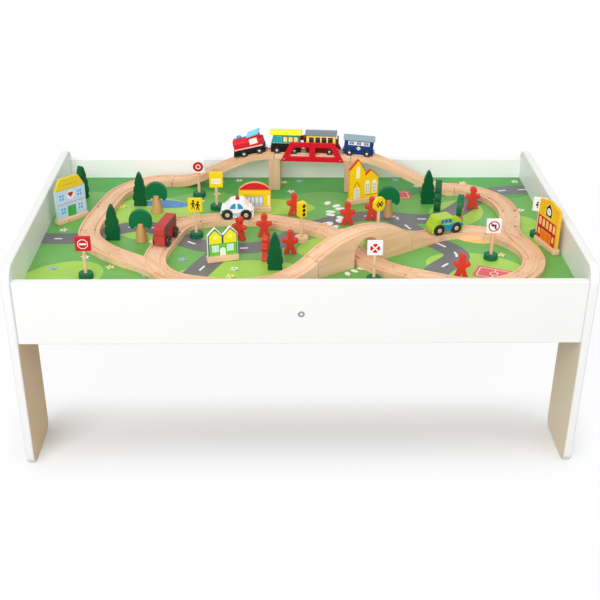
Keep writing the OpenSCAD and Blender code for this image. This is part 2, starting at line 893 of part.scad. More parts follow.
module engine_rear_wheels() {
    color("dimgray") on_left_bend() wheels_at(1, engine_wheelbase, train_axle_level, train_wheel_radius);
}

// Coaches: a body with a bowed roof on a chassis with a wide sole and magnets
coach_half = 30;
coach_sole = 9;
coach_wall = 18;
coach_roof_rise = 7;
coach_roof_over = 2.5;
platform_run = 6;
platform_rail = 11;
sole_level = body_level + coach_sole;
third_coach_wall = 11;
module coach_box(wall = coach_wall) {
    block([-coach_half, -train_width / 2, sole_level], [coach_half, train_width / 2, sole_level + wall]);
}
module coach_roof(wall = coach_wall) {
    half = train_width / 2 + 1.5;
    edge = 2;
    bow = coach_roof_rise - edge;
    r = (half * half + bow * bow) / (2 * bow);
    span = asin(half / r);
    translate([-coach_half - coach_roof_over, 0, sole_level + wall]) rotate([90, 0, 90])
        linear_extrude(2 * (coach_half + coach_roof_over))
            polygon(concat([[-half, 0], [half, 0]], arc([0, coach_roof_rise - r], r, 90 - span, 90 + span)));
}
module coach_chassis(run = 1) {
    reach = coach_half + run;
    chassis(-reach, reach, coach_wheelbase);
    block([-coach_half, -train_width / 2, body_level], [coach_half, train_width / 2, sole_level]);
    magnet(-reach, -1);
    magnet(reach, 1);
}
module first_coach() {
    on_overpass(first_coach_place, deck_top) children();
}
first_coach_slant = 5;
module first_coach_body() {
    color("teal") first_coach() translate([0, 0, sole_level]) upright(train_width)
        polygon([
            [-coach_half, 0], [coach_half, 0],
            [coach_half, coach_wall], [first_coach_slant - coach_half, coach_wall]
        ]);
}
module first_coach_chassis() {
    color("black") first_coach() coach_chassis();
}
module first_coach_roof() {
    color("yellow") first_coach() coach_roof();
}
module first_coach_front_wheels() {
    color("dimgray") first_coach() wheels_at(-1, coach_wheelbase, train_axle_level, train_wheel_radius);
}
module first_coach_rear_wheels() {
    color("dimgray") first_coach() wheels_at(1, coach_wheelbase, train_axle_level, train_wheel_radius);
}

module second_coach() {
    on_overpass(second_coach_place, deck_top) children();
}
module second_coach_body() {
    color("khaki") second_coach() coach_box();
}
module second_coach_chassis() {
    half = train_width / 2 - 1;
    color("maroon") second_coach() {
        coach_chassis(1);
        for (side = [0, 1])
            mirror([side, 0, 0]) {
                block([coach_half - over, -half, body_level], [coach_half + platform_run, half, sole_level]);
                block(
                    [coach_half + platform_run / 2, -half, sole_level - over],
                    [coach_half + platform_run, half, sole_level + platform_rail]
                );
            }
    }
}
module second_coach_roof() {
    color("slategray") second_coach() coach_roof();
}
module second_coach_front_wheels() {
    color("dimgray") second_coach() wheels_at(-1, coach_wheelbase, train_axle_level, train_wheel_radius);
}
module second_coach_rear_wheels() {
    color("dimgray") second_coach() wheels_at(1, coach_wheelbase, train_axle_level, train_wheel_radius);
}

module third_coach_body() {
    color("navy") on_right_bend() {
        coach_box(third_coach_wall);
        coach_chassis();
    }
}
module third_coach_roof() {
    color("lightslategray") on_right_bend() coach_roof(third_coach_wall);
}
module third_coach_front_wheels() {
    color("dimgray") on_right_bend() wheels_at(-1, coach_wheelbase, train_axle_level, train_wheel_radius);
}
module third_coach_rear_wheels() {
    color("dimgray") on_right_bend() wheels_at(1, coach_wheelbase, train_axle_level, train_wheel_radius);
}

// Cars: a side view with a keel between the wheels and a wider body above wheel arches
arch_room = 1.2;
car_floor = 3;
module car_shape(wheelbase) {
    well = car_wheel_radius + arch_room;
    difference() {
        upright(car_width) children();
        for (end = [-1, 1], side = [-1, 1])
            translate([end * wheelbase / 2, side * (chassis_width + car_width) / 2, car_axle_level])
                rotate([90, 0, 0]) cylinder(r = well, h = car_width, center = true);
        axle_bores(wheelbase, car_axle_level);
    }
}
white_car_half = 31;
white_car_shift = 1.5;
module white_car_outline() {
    half = white_car_half;
    translate([white_car_shift, 0]) polygon(concat(
        [[-half, car_floor], [half, car_floor]],
        arc([half - 5, 13], 6, -30, 70),
        arc([7, 25], 12, 30, 90),
        arc([-7, 25], 12, 90, 150),
        arc([4 - half, 14], 6, 110, 200)
    ));
}
white_car_roof = 37;
module white_car_body() {
    color("white") on_wide_curve() car_shape(white_car_wheelbase) white_car_outline();
}
module white_car_beacon() {
    color("red") on_wide_curve() translate([white_car_shift, 0, white_car_roof])
        rotate_extrude() polygon([[0, 0], [4, 0], [4, 3], [2.6, 6], [0, 6.6]]);
}
module white_car_front_wheels() {
    color("dimgray") on_wide_curve() wheels_at(-1, white_car_wheelbase, car_axle_level, car_wheel_radius);
}
module white_car_rear_wheels() {
    color("dimgray") on_wide_curve() wheels_at(1, white_car_wheelbase, car_axle_level, car_wheel_radius);
}

green_car_half = 33;
module green_car_outline() {
    half = green_car_half;
    polygon(concat(
        [[-half, car_floor], [half, car_floor]],
        arc([half - 4, 14], 5, -20, 80),
        arc([7, 25], 8, 40, 90),
        arc([-19, 25], 8, 90, 160),
        arc([3 - half, 12], 4, 150, 200)
    ));
}
module green_car_body() {
    color("yellowgreen") on_car_curve() car_shape(green_car_wheelbase) green_car_outline();
}
module green_car_front_wheels() {
    color("dimgray") on_car_curve() wheels_at(1, green_car_wheelbase, car_axle_level, car_wheel_radius);
}
module green_car_rear_wheels() {
    color("dimgray") on_car_curve() wheels_at(-1, green_car_wheelbase, car_axle_level, car_wheel_radius);
}

// Wagon: a narrow box on a slightly shorter underframe, with its wheels outside
wagon_half = 35;
wagon_height = 40;
wagon_seam = 23;
wagon_step = 0.6;
module wagon_outline() {
    low = wagon_half - wagon_step;
    polygon([
        [-low, car_floor], [low, car_floor], [low, wagon_seam], [wagon_half, wagon_seam],
        [wagon_half, wagon_height], [-wagon_half, wagon_height], [-wagon_half, wagon_seam], [-low, wagon_seam]
    ]);
}
module wagon_body() {
    color("firebrick") on_wagon_track() difference() {
        upright(chassis_width) wagon_outline();
        axle_bores(wagon_wheelbase, car_axle_level);
    }
}
module wagon_front_wheels() {
    color("dimgray") on_wagon_track() wheels_at(-1, wagon_wheelbase, car_axle_level, car_wheel_radius);
}
module wagon_rear_wheels() {
    color("dimgray") on_wagon_track() wheels_at(1, wagon_wheelbase, car_axle_level, car_wheel_radius);
}

// Buildings: a flat printed block on a wooden foot
foot_over = 1.5;
hospital_width = 68;
station_width = 64;
chapel_width = 64;
twin_house_width = 56;
fire_station_width = 70;
foot_places = [
    [hospital_place, hospital_width], [station_place, station_width], [chapel_place, chapel_width],
    [twin_house_place, twin_house_width], [fire_station_place, fire_station_width]
];
module building_feet() {
    color("burlywood") for (foot = foot_places)
        at(foot[0], board_top) block(
            [-foot[1] / 2 - foot_over, -foot_depth / 2, 0],
            [foot[1] / 2 + foot_over, foot_depth / 2, foot_height]
        );
}
module building(place) {
    at(place, board_top + foot_height) upright(building_thickness) children();
}
hospital_wall = 57;
hospital_height = 80;
hospital_top = 42;
module hospital() {
    half = hospital_width / 2;
    ridge = hospital_top / 2;
    color("lightblue") building(hospital_place)
        polygon([
            [-half, 0], [half, 0], [half, hospital_wall],
            [ridge, hospital_height], [-ridge, hospital_height], [-half, hospital_wall]
        ]);
}
station_wall = 36;
station_dome = 16;
module station() {
    width = station_width;
    wall = station_wall;
    dome = station_dome;
    r = (width * width / 4 + dome * dome) / (2 * dome);
    span = asin(width / 2 / r);
    color("gold") building(station_place)
        polygon(concat(
            [[-width / 2, 0], [width / 2, 0]],
            arc([0, wall + dome - r], r, 90 - span, 90 + span)
        ));
}
chapel_wall = 45.5;
chapel_gable = 60.5;
chapel_valley = 50;
chapel_tower_side = 64;
chapel_tower_top = 85;
module chapel() {
    half = chapel_width / 2;
    step = chapel_width * 0.035;
    color("gold") building(chapel_place)
        polygon([
            [-half, 0], [half, 0], [half, chapel_wall], [half * 0.45, chapel_gable], [step, chapel_valley],
            [step, chapel_gable - over], [-half * 0.41, chapel_tower_top], [-half, chapel_tower_side]
        ]);
}
twin_house_wall = 42;
twin_house_gable = 56;
twin_house_valley = 40;
module twin_house() {
    half = twin_house_width / 2;
    color("greenyellow") building(twin_house_place)
        polygon([
            [-half, 0], [half, 0], [half, twin_house_wall], [half / 2, twin_house_gable],
            [0, twin_house_valley], [-half / 2, twin_house_gable], [-half, twin_house_wall]
        ]);
}
fire_station_wall = 75;
fire_station_gable = 83;
module fire_station() {
    half = fire_station_width / 2;
    color("orange") building(fire_station_place)
        polygon([
            [-half, 0], [half, 0], [half, fire_station_wall],
            [0, fire_station_gable], [-half, fire_station_wall]
        ]);
}

// Signs: a plate on a post in a round base
light_width = 14;
light_height = 28;
label_height = 32;
module plate_outline(i) {
    half = sign_size / 2;
    cut = sign_size * 0.28;
    if (i == octagon_sign)
        polygon([
            [-half + cut, 0], [half - cut, 0], [half, cut], [half, sign_size - cut],
            [half - cut, sign_size], [-half + cut, sign_size], [-half, sign_size - cut], [-half, cut]
        ]);
    else if (i == light_sign)
        translate([-light_width / 2, sign_size - light_height]) square([light_width, light_height]);
    else if (i == label_sign)
        translate([-half, sign_size - label_height]) square([sign_size, label_height]);
    else
        translate([-half, 0]) square(sign_size);
}
function plate_drop(i) = i == light_sign ? light_height : i == label_sign ? label_height : sign_size;
function plate_level(i) = sign_height - plate_drop(i);
module sign_plates() {
    color("gold") for (i = [0:len(sign_places) - 1])
        at(sign_places[i], board_top) difference() {
            translate([0, 0, sign_height - sign_size])
                upright(i == light_sign ? light_width : sign_thickness) plate_outline(i);
            translate([0, 0, plate_level(i) - over])
                cylinder(r = tenon_radius + fitting_clearance, h = post_seat + fitting_clearance + over);
        }
}
module sign_posts() {
    color("burlywood") for (i = [0:len(sign_places) - 1])
        at(sign_places[i], board_top + sign_base_height - post_seat) {
            cylinder(r = post_radius, h = plate_level(i) - sign_base_height + post_seat);
            cylinder(r = tenon_radius, h = plate_level(i) - sign_base_height + 2 * post_seat);
        }
}
module sign_bases() {
    r = sign_base_radius;
    edge = 1.5;
    seat = post_radius + fitting_clearance;
    floor_level = sign_base_height - post_seat;
    color("darkgreen") for (place = sign_places)
        at(place, board_top) rotate_extrude() polygon([
            [0, 0], [r, 0], [r, sign_base_height - edge], [r - edge, sign_base_height],
            [seat, sign_base_height], [seat, floor_level], [0, floor_level]
        ]);
}

// Pointed trees with three tiers
function pine_side(w, h) = [
    [w * 0.42, 0], [w * 0.46, h * 0.06], [w * 0.38, h * 0.13], [w * 0.5, h * 0.2], [w * 0.48, h * 0.34],
    [w * 0.40, h * 0.42], [w * 0.42, h * 0.48], [w * 0.30, h * 0.66], [w * 0.29, h * 0.71],
    [w * 0.13, h * 0.95], [w * 0.05, h]
];
module pine_trees() {
    side = pine_side(pine_width, pine_height);
    color("darkgreen") for (place = pine_places)
        at(place, board_top) upright(tree_thickness) polygon(concat(side, mirrored(side)));
}

// Round trees: a turned trunk with a slot that holds a flat crown
trunk_top_radius = 7;
crown_slot = 8;
crown_gap = 2;
crown_lift = 0.2;
module crown_outline() {
    r = crown_width / 2;
    rise = round_tree_height - r;
    lobe = r * 0.45;
    right = concat(
        [[trunk_top_radius + crown_gap, trunk_height - crown_slot + crown_gap]],
        arc([r - lobe, rise - r * 0.33], lobe, -70, 10),
        arc([0, rise], r, 0, 90)
    );
    polygon(concat([[0, trunk_height - crown_slot + crown_lift]], right, mirrored(right)));
}
module tree_crowns() {
    color("darkgreen") for (place = round_tree_places)
        at(place, board_top) upright(crown_thickness) crown_outline();
}
module tree_trunks() {
    wide = crown_thickness + 2 * fitting_clearance;
    low = trunk_height - crown_slot;
    color("peru") for (i = [0:len(round_tree_places) - 1])
        at(round_tree_places[i], board_top) difference() {
            cylinder(r1 = trunk_foot_radii[i], r2 = trunk_top_radius, h = trunk_height);
            block([-crown_width, -wide / 2, low], [crown_width, wide / 2, round_tree_height]);
        }
}

// Little people cut from flat wood
function person_side(h) =
    let (k = h / 49)
    k * concat(
        [[0, 13], [3, 0], [10.5, 0]],
        arc([8.5, 3], 3, -20, 60, 4),
        [[6.5, 20]],
        arc([11.5, 26.5], 3.6, -80, 90, 8),
        arc([0, 42], 7, -50, 90)
    );
module little_people() {
    side = person_side(person_height);
    color("red") for (place = person_places)
        at(place, board_top) upright(person_thickness) polygon(concat(side, mirrored(side)));
}

left_end_panel();
right_end_panel();
front_apron();
back_apron();
play_board();
centre_rail();
connecting_bolts();
barrel_nuts();
dowels();
flat_tracks();
switch_tracks();
overpass_ramps();
overpass_deck();
overpass_piers();
bridge_sides();
arch_bridge();
arch_ramps();
engine_body();
engine_chassis();
engine_cab_roof();
engine_chimney();
engine_front_wheels();
engine_rear_wheels();
first_coach_body();
first_coach_chassis();
first_coach_roof();
first_coach_front_wheels();
first_coach_rear_wheels();
second_coach_body();
second_coach_chassis();
second_coach_roof();
second_coach_front_wheels();
second_coach_rear_wheels();
third_coach_body();
third_coach_roof();
third_coach_front_wheels();
third_coach_rear_wheels();
white_car_body();
white_car_beacon();
white_car_front_wheels();
white_car_rear_wheels();
green_car_body();
green_car_front_wheels();
green_car_rear_wheels();
wagon_body();
wagon_front_wheels();
wagon_rear_wheels();
hospital();
station();
chapel();
twin_house();
fire_station();
building_feet();
sign_plates();
sign_posts();
sign_bases();
pine_trees();
tree_crowns();
tree_trunks();
little_people();
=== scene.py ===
import bpy
import bmesh
import math
import numpy as np
from itertools import product
from mathutils import Matrix, Vector


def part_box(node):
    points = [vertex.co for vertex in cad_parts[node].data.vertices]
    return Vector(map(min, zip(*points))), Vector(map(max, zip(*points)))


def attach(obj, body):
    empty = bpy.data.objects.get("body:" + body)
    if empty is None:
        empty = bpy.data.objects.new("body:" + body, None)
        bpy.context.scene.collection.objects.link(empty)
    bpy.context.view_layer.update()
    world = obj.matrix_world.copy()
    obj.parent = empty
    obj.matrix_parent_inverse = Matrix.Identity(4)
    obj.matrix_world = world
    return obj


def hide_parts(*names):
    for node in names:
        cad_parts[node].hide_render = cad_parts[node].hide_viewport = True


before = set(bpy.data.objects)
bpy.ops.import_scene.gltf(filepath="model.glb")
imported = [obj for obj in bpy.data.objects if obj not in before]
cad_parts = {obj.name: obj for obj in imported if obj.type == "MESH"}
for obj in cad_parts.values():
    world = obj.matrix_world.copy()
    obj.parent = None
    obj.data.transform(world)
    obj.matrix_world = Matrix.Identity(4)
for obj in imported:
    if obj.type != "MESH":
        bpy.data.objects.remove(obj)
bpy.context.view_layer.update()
mm = 0.001
sides = (-1, 1)
print("frame loaded:", len(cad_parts), "nodes")


# colours are written as screen values
def tint(*rgb):
    shares = [c / 255 for c in rgb]
    return (*[s / 12.92 if s <= 0.04045 else ((s + 0.055) / 1.055) ** 2.4 for s in shares], 1.0)


def tints(**screen):
    return {name: tint(*rgb) for name, rgb in screen.items()}


def sumOf(operation, swapped=False):
    def act(self, other):
        first, second = (other, self) if swapped else (self, other)
        return self.calc(operation, first, second)
    return act


# a socket that takes part in Python sums
class Wire:
    def __init__(self, tree, socket=None):
        self.tree = tree
        self.socket = socket

    def node(self, kind, inputs, out=0, **settings):
        made = self.tree.nodes.new(kind)
        for key, value in settings.items():
            setattr(made, key, value)
        for key, value in inputs.items():
            self.feed(made.inputs[key], value)
        return Wire(self.tree, made.outputs[out])

    def feed(self, socket, value):
        if isinstance(value, Wire):
            self.tree.links.new(value.socket, socket)
        else:
            socket.default_value = value

    # feeds the tree's main shader
    def wear(self, **sockets):
        shader = self.tree.nodes["Principled BSDF"]
        for key, value in sockets.items():
            self.feed(shader.inputs[key.replace("_", " ")], value)

    def calc(self, operation, a, b=0.0):
        return self.node("ShaderNodeMath", {0: a, 1: b}, operation=operation)

    __add__ = sumOf("ADD")
    __radd__ = sumOf("ADD", True)
    __sub__ = sumOf("SUBTRACT")
    __mul__ = sumOf("MULTIPLY")
    __gt__ = sumOf("GREATER_THAN")
    __lt__ = sumOf("LESS_THAN")

    def size(self):
        return self.calc("ABSOLUTE", self)

    # from 0 to 1 between two values
    def step(self, low, high):
        return self.node("ShaderNodeMapRange", {0: self, 1: low, 2: high}, interpolation_type="SMOOTHSTEP")

    # self is the share of the second colour
    def blend(self, first, second):
        return self.node("ShaderNodeMix", {0: self, 6: first, 7: second}, 2, data_type="RGBA")

    def times(self, scale):
        return self.node("ShaderNodeVectorMath", {0: self, 1: scale}, operation="MULTIPLY")

    def axis(self, index):
        return self.node("ShaderNodeSeparateXYZ", {0: self}, index)

    def noise(self, scale, detail=2.0, rough=0.5):
        inputs = {"Vector": self, "Scale": scale, "Detail": detail, "Roughness": rough}
        return self.node("ShaderNodeTexNoise", inputs)

    def place(self):
        return self.node("ShaderNodeTexCoord", {}, 3)

    def ray(self, kind):
        return self.node("ShaderNodeLightPath", {}, kind)

    def attribute(self, name, out=1):
        return self.node("ShaderNodeAttribute", {}, out, attribute_name=name)

    def bump(self, height, strength, distance):
        return self.node("ShaderNodeBump", {"Height": height, "Strength": strength, "Distance": distance})


def newFinish(name, **fixed):
    finish = bpy.data.materials.new(name)
    finish.use_nodes = True
    w = Wire(finish.node_tree)
    w.wear(**fixed)
    return finish, w


# the back white is brighter than the white in front: painted light on the back apron
panelLook = {"white": tint(239, 240, 240), "warm": tint(241, 241, 238), "back": tint(251, 252, 252),
             "litBackFrom": 0.2, "innerFace": 0.4853, "legTop": 0.2581,
             # leg face colours: the left pair is darker as painted shade, the right pair paler as painted
             # light falling from the left
             "shadedLeftLegFace": (tint(255, 228, 180), tint(244, 212, 166)),
             "litRightLegFace": (tint(255, 243, 212), tint(248, 231, 198))}


# white lacquer with a faint orange peel; the inner faces of the legs below the apron are tan, the left leg
# darker as painted shade and the right paler as painted light falling from the left
def panelFinish(name, tanLegFaces):
    finish, w = newFinish(name, Coat_Weight=0.15, Coat_Roughness=0.2)
    look = panelLook
    place = w.place()
    peel = place.noise(420.0)
    colour = place.noise(5.0).blend(look["white"], look["warm"])
    if tanLegFaces:
        tanLegMask = (place.axis(0).size() < look["innerFace"]) * (place.axis(2) < look["legTop"])
        streak = 0.25 + place.times((60.0, 60.0, 14.0)).noise(6.0, 4.0) * 0.5
        left = streak.blend(*look["shadedLeftLegFace"])
        right = streak.blend(*look["litRightLegFace"])
        # the right leg's inner face is paler than the left: painted light falling from the left
        colour = tanLegMask.blend(colour, (place.axis(0) > 0.0).blend(left, right))
    else:
        # faces towards the back take the brighter back white: painted light on the back apron
        colour = (place.axis(1) > look["litBackFrom"]).blend(colour, look["back"])
    w.wear(Base_Color=colour, Roughness=0.34 + peel * 0.12, Normal=w.bump(peel, 0.12, 0.0004))
    return finish


# roughness, then the pale, deep, fleck and knot shades
woods = {"beech": (0.42, (244, 206, 168), (222, 170, 128), (180, 128, 90), (150, 92, 66)),
         # pier wood: pinker than the beech as its own colour, and darker as painted shade from the deck above
         "pinkShadedBeech": (0.5, (222, 186, 154), (196, 152, 120), (166, 120, 90), (140, 90, 66)),
         "trunkWood": (0.5, (216, 168, 108), (182, 126, 68), (130, 82, 42), (110, 66, 34))}


# the grain attribute runs along the fibres, the tone attribute differs from board to board
def woodFinish(name):
    gloss, *shades = woods[name]
    pale, deep, fleckShade, knotShade = [tint(*shade) for shade in shades]
    finish, w = newFinish(name, Coat_Weight=0.08, Coat_Roughness=0.35)
    grain = w.attribute("grain")
    bands = grain.times((9.0, 95.0, 95.0)).noise(1.0, 3.0, 0.55)
    fibre = grain.times((40.0, 900.0, 900.0)).noise(1.0, 3.0, 0.6)
    fleck = grain.times((190.0, 1500.0, 1500.0)).noise(1.0, 1.0)
    knot = grain.times((120.0, 240.0, 240.0)).noise(1.0, 1.0, 0.4)
    share = bands.step(0.3, 0.7) * 0.5 + fibre * 0.22 + w.attribute("tone", 2) * 0.3 - 0.12
    colour = share.blend(pale, deep)
    colour = (fleck.step(0.66, 0.78) * 0.45).blend(colour, fleckShade)
    colour = (knot.step(0.735, 0.76) * 0.7).blend(colour, knotShade)
    w.wear(Base_Color=colour, Roughness=gloss + fibre * 0.18, Normal=w.bump(fibre, 0.25, 0.0003))
    return finish


# paint on wood: colour from the paint attribute, with a little depth and brush grain
def paintFinish(name, gloss, coat):
    finish, w = newFinish(name, Coat_Weight=coat, Coat_Roughness=0.18, Specular_IOR_Level=0.2)
    place = w.place()
    cloud = place.noise(70.0, 3.0)
    fine = place.noise(900.0)
    colour = w.attribute("paint", 0)
    shade = colour.times((0.86, 0.86, 0.88))
    w.wear(Base_Color=(cloud.step(0.45, 0.85) * 0.4).blend(colour, shade),
           Roughness=gloss + cloud * 0.1 + fine * 0.06, Normal=w.bump(fine, 0.1, 0.0002))
    return finish


# printed board: flat inks under a satin film
def printFinish(name):
    finish, w = newFinish(name, Coat_Weight=0.1, Coat_Roughness=0.3)
    place = w.place()
    mottle = place.noise(160.0, 3.0)
    colour = w.attribute("paint", 0)
    light = colour.times((1.12, 1.1, 1.06))
    dark = colour.times((0.82, 0.86, 0.86))
    ink = place.noise(9.0, 4.0, 0.6).step(0.35, 0.7).blend(dark, light)
    w.wear(Base_Color=(0.45 + mottle * 0.2).blend(colour, ink), Roughness=0.42 + mottle * 0.16,
           Normal=w.bump(mottle, 0.05, 0.0003))
    return finish


def metalFinish(name):
    finish, w = newFinish(name, Metallic=1.0)
    brush = w.place().times((600.0, 600.0, 4200.0)).noise(1.0)
    w.wear(Base_Color=brush.blend(tint(214, 214, 216), tint(190, 190, 195)), Roughness=0.22 + brush * 0.18)
    return finish


def rubberFinish(name):
    finish, w = newFinish(name, Coat_Weight=0.2, Coat_Roughness=0.25)
    fine = w.place().noise(700.0, 3.0)
    w.wear(Base_Color=fine.blend(tint(20, 20, 22), tint(38, 38, 40)), Roughness=0.32 + fine * 0.2,
           Normal=w.bump(fine, 0.12, 0.0002))
    return finish


whitePanel = panelFinish("whitePanel", False)
legPanel = panelFinish("legPanel", True)
beech = woodFinish("beech")
pinkShadedBeech = woodFinish("pinkShadedBeech")
trunkWood = woodFinish("trunkWood")
glossPaint = paintFinish("glossPaint", 0.26, 0.3)
satinPaint = paintFinish("satinPaint", 0.4, 0.05)
playPrint = printFinish("playPrint")
steel = metalFinish("steel")
# the black rubber finish serves the tyres and also the painted slot shade on the nut caps
rubberAndSlotShade = rubberFinish("rubberAndSlotShade")
print("finishes made")


# poses are x, y and heading, in millimetres and degrees
def along(p, d):
    a = math.radians(p[2])
    return (p[0] + d * math.cos(a), p[1] + d * math.sin(a), p[2])


def beside(p, d):
    a = math.radians(p[2])
    return (p[0] - d * math.sin(a), p[1] + d * math.cos(a), p[2])


def veered(p, r, turn):
    s = math.copysign(1, turn)
    a = math.radians(p[2])
    b = math.radians(p[2] + turn)
    x = p[0] + s * r * (math.sin(b) - math.sin(a))
    y = p[1] - s * r * (math.cos(b) - math.cos(a))
    return (x, y, p[2] + turn)


def spun(degrees, axis):
    return Matrix.Rotation(math.radians(degrees), 4, axis)


def lift(x, y, z):
    return Matrix.Translation((x, y, z))


def seat(pose, level):
    return lift(pose[0], pose[1], level) @ spun(pose[2], "Z")


def sag(r, chord):
    return r - math.sqrt(r * r - chord * chord / 4)


# outlines are lists of points in a plane
def arc(cx, cy, r, first, last, steps=14):
    turns = [math.radians(first + (last - first) * i / steps) for i in range(steps + 1)]
    return [(cx + r * math.cos(a), cy + r * math.sin(a)) for a in turns]


def mirrored(points):
    return [(-x, y) for x, y in reversed(points)]


def placed(points, x, y, turn=0.0, k=1.0):
    c = math.cos(math.radians(turn)) * k
    s = math.sin(math.radians(turn)) * k
    return [(x + u * c - v * s, y + u * s + v * c) for u, v in points]


def rect(x0, y0, x1, y1):
    return [(x0, y0), (x1, y0), (x1, y1), (x0, y1)]


def post(x, half, y0, y1):
    return rect(x - half, y0, x + half, y1)


def bar(x, y, length, width, turn):
    return placed(rect(-length / 2, -width / 2, length / 2, width / 2), x, y, turn)


def disc(x, y, r, n=24):
    return arc(x, y, r, 0, 360 - 360 / n, n - 1)


def oval(x, y, a, b, turn, n):
    return placed([(a * u, b * v) for u, v in disc(0, 0, 1, n)], x, y, turn)


# a shallow arch over a line from -half to half
def bowed(half, rise, top, steps):
    r = (half * half + rise * rise) / (2 * rise)
    span = math.degrees(math.asin(half / r))
    return arc(0, top - r, r, 90 - span, 90 + span, steps)


def arched(x, y, w, h):
    return [(x - w / 2, y), (x + w / 2, y)] + arc(x, y + h - w / 2, w / 2, 0, 180, 10)


def softRect(x0, y0, x1, y1, r):
    return (arc(x1 - r, y0 + r, r, -90, 0, 4) + arc(x1 - r, y1 - r, r, 0, 90, 4)
            + arc(x0 + r, y1 - r, r, 90, 180, 4) + arc(x0 + r, y0 + r, r, 180, 270, 4))


# parts are built in millimetres and carry three attributes
def newPart():
    part = bmesh.new()
    part.verts.layers.float_vector.new("grain")
    part.verts.layers.float.new("tone")
    part.loops.layers.float_color.new("paint")
    return part


plain = (0.8, 0.8, 0.8, 1.0)
upright = (2, 0, 1)


def brush(part, faces, colour):
    paint = part.loops.layers.float_color["paint"]
    for face in faces:
        for loop in face.loops:
            loop[paint] = colour


def dress(part, colour=plain, slot=0, fibres=(0, 1, 2), tone=0.5):
    grain = part.verts.layers.float_vector["grain"]
    toneLayer = part.verts.layers.float["tone"]
    for v in part.verts:
        v[grain] = Vector([v.co[i] for i in fibres]) * mm + Vector((tone, tone, 0))
        v[toneLayer] = tone
    for face in part.faces:
        face.material_index = slot
    brush(part, part.faces, colour)
    return part


# a mesh takes the part's place
def meshOf(name, part):
    mesh = bpy.data.meshes.new(name)
    part.to_mesh(mesh)
    part.free()
    return mesh


def show(name, data):
    thing = bpy.data.objects.new(name, data)
    bpy.context.scene.collection.objects.link(thing)
    return thing


def put(whole, part, matrix=None):
    if matrix is not None:
        part.transform(matrix)
    carry = meshOf("carry", part)
    whole.from_mesh(carry)
    bpy.data.meshes.remove(carry)


def roundEdges(part, width, segments=2, limit=40.0):
    corner = math.radians(limit)
    sharp = [e for e in part.edges if len(e.link_faces) == 2 and e.calc_face_angle(0.0) > corner]
    bmesh.ops.bevel(part, geom=sharp, offset=width, offset_type="OFFSET", segments=segments, profile=0.5,
                    affect="EDGES", clamp_overlap=True, material=-1)


def thicken(part, thickness, width, segments):
    grown = bmesh.ops.extrude_face_region(part, geom=part.faces[:])
    moved = [g for g in grown["geom"] if isinstance(g, bmesh.types.BMVert)]
    bmesh.ops.translate(part, verts=moved, vec=(0, thickness, 0))
    bmesh.ops.recalc_face_normals(part, faces=part.faces)
    roundEdges(part, width, segments)
    return part


# an upright board, its outline in x and z, its middle plane at y = 0
def plate(outline, thickness, width=0.8, segments=2):
    part = newPart()
    part.faces.new([part.verts.new((x, -thickness / 2, z)) for x, z in outline])
    return thicken(part, thickness, width, segments)


def brick(low, high, width, segments=2):
    part = newPart()
    bmesh.ops.create_cube(part, size=1.0)
    size = Vector(high) - Vector(low)
    bmesh.ops.scale(part, verts=part.verts, vec=size)
    bmesh.ops.translate(part, verts=part.verts, vec=Vector(low) + size / 2)
    if width > 0:
        roundEdges(part, width, segments)
    return part


# a turned piece about Z, its profile in radius and height, closed where it ends off the axis
def lathe(profile, steps=32):
    part = newPart()
    lastR, lastZ = profile[-1]
    if profile[0][0] > 0 and lastR > 0:
        profile = profile + [profile[0]]
    elif lastR > 0:
        profile = profile + [(0, lastZ)]
    chain = [part.verts.new((r, 0, z)) for r, z in profile]
    edges = [part.edges.new(pair) for pair in zip(chain, chain[1:])]
    bmesh.ops.spin(part, geom=chain + edges, cent=(0, 0, 0), axis=(0, 0, 1), angle=math.tau, steps=steps,
                   use_merge=True)
    bmesh.ops.remove_doubles(part, verts=part.verts, dist=0.001)
    bmesh.ops.recalc_face_normals(part, faces=part.faces)
    return part


inkStep = 0.04


# inks lie on a face in thin layers; a mark is a layer, a colour's name and an outline
def inks(marks, look, face, outward):
    part = newPart()
    for level, colour, outline in sorted(marks, key=lambda mark: mark[0]):
        y = face + outward * inkStep * (1 + level)
        made = part.faces.new([part.verts.new((x, y, z)) for x, z in outline])
        made.normal_update()
        if made.normal.y * outward < 0:
            made.normal_flip()
        brush(part, [made], look[colour])
    return part


def bothFaces(whole, marks, look, half, matrix=None):
    for side in sides:
        put(whole, inks(marks, look, side * half, side), matrix)


def finishPiece(name, part, looks, node, body="table"):
    bmesh.ops.dissolve_degenerate(part, dist=0.01, edges=part.edges)
    part.transform(Matrix.Scale(mm, 4))
    mesh = meshOf(name, part)
    mesh.polygons.foreach_set("use_smooth", [True] * len(mesh.polygons))
    mesh.set_sharp_from_angle(angle=math.radians(38.0))
    piece = show(name, mesh)
    for look in looks:
        mesh.materials.append(look)
    even = piece.modifiers.new("evenNormals", "WEIGHTED_NORMAL")
    even.keep_sharp = True
    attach(piece, body)
    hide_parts(node)


# all vertices that hang together with the first, which are noted in taken
def boardOf(start, taken):
    taken.add(start.index)
    board = [start]
    for v in board:
        for e in v.link_edges:
            other = e.other_vert(v)
            if other.index not in taken:
                taken.add(other.index)
                board.append(other)
    return board


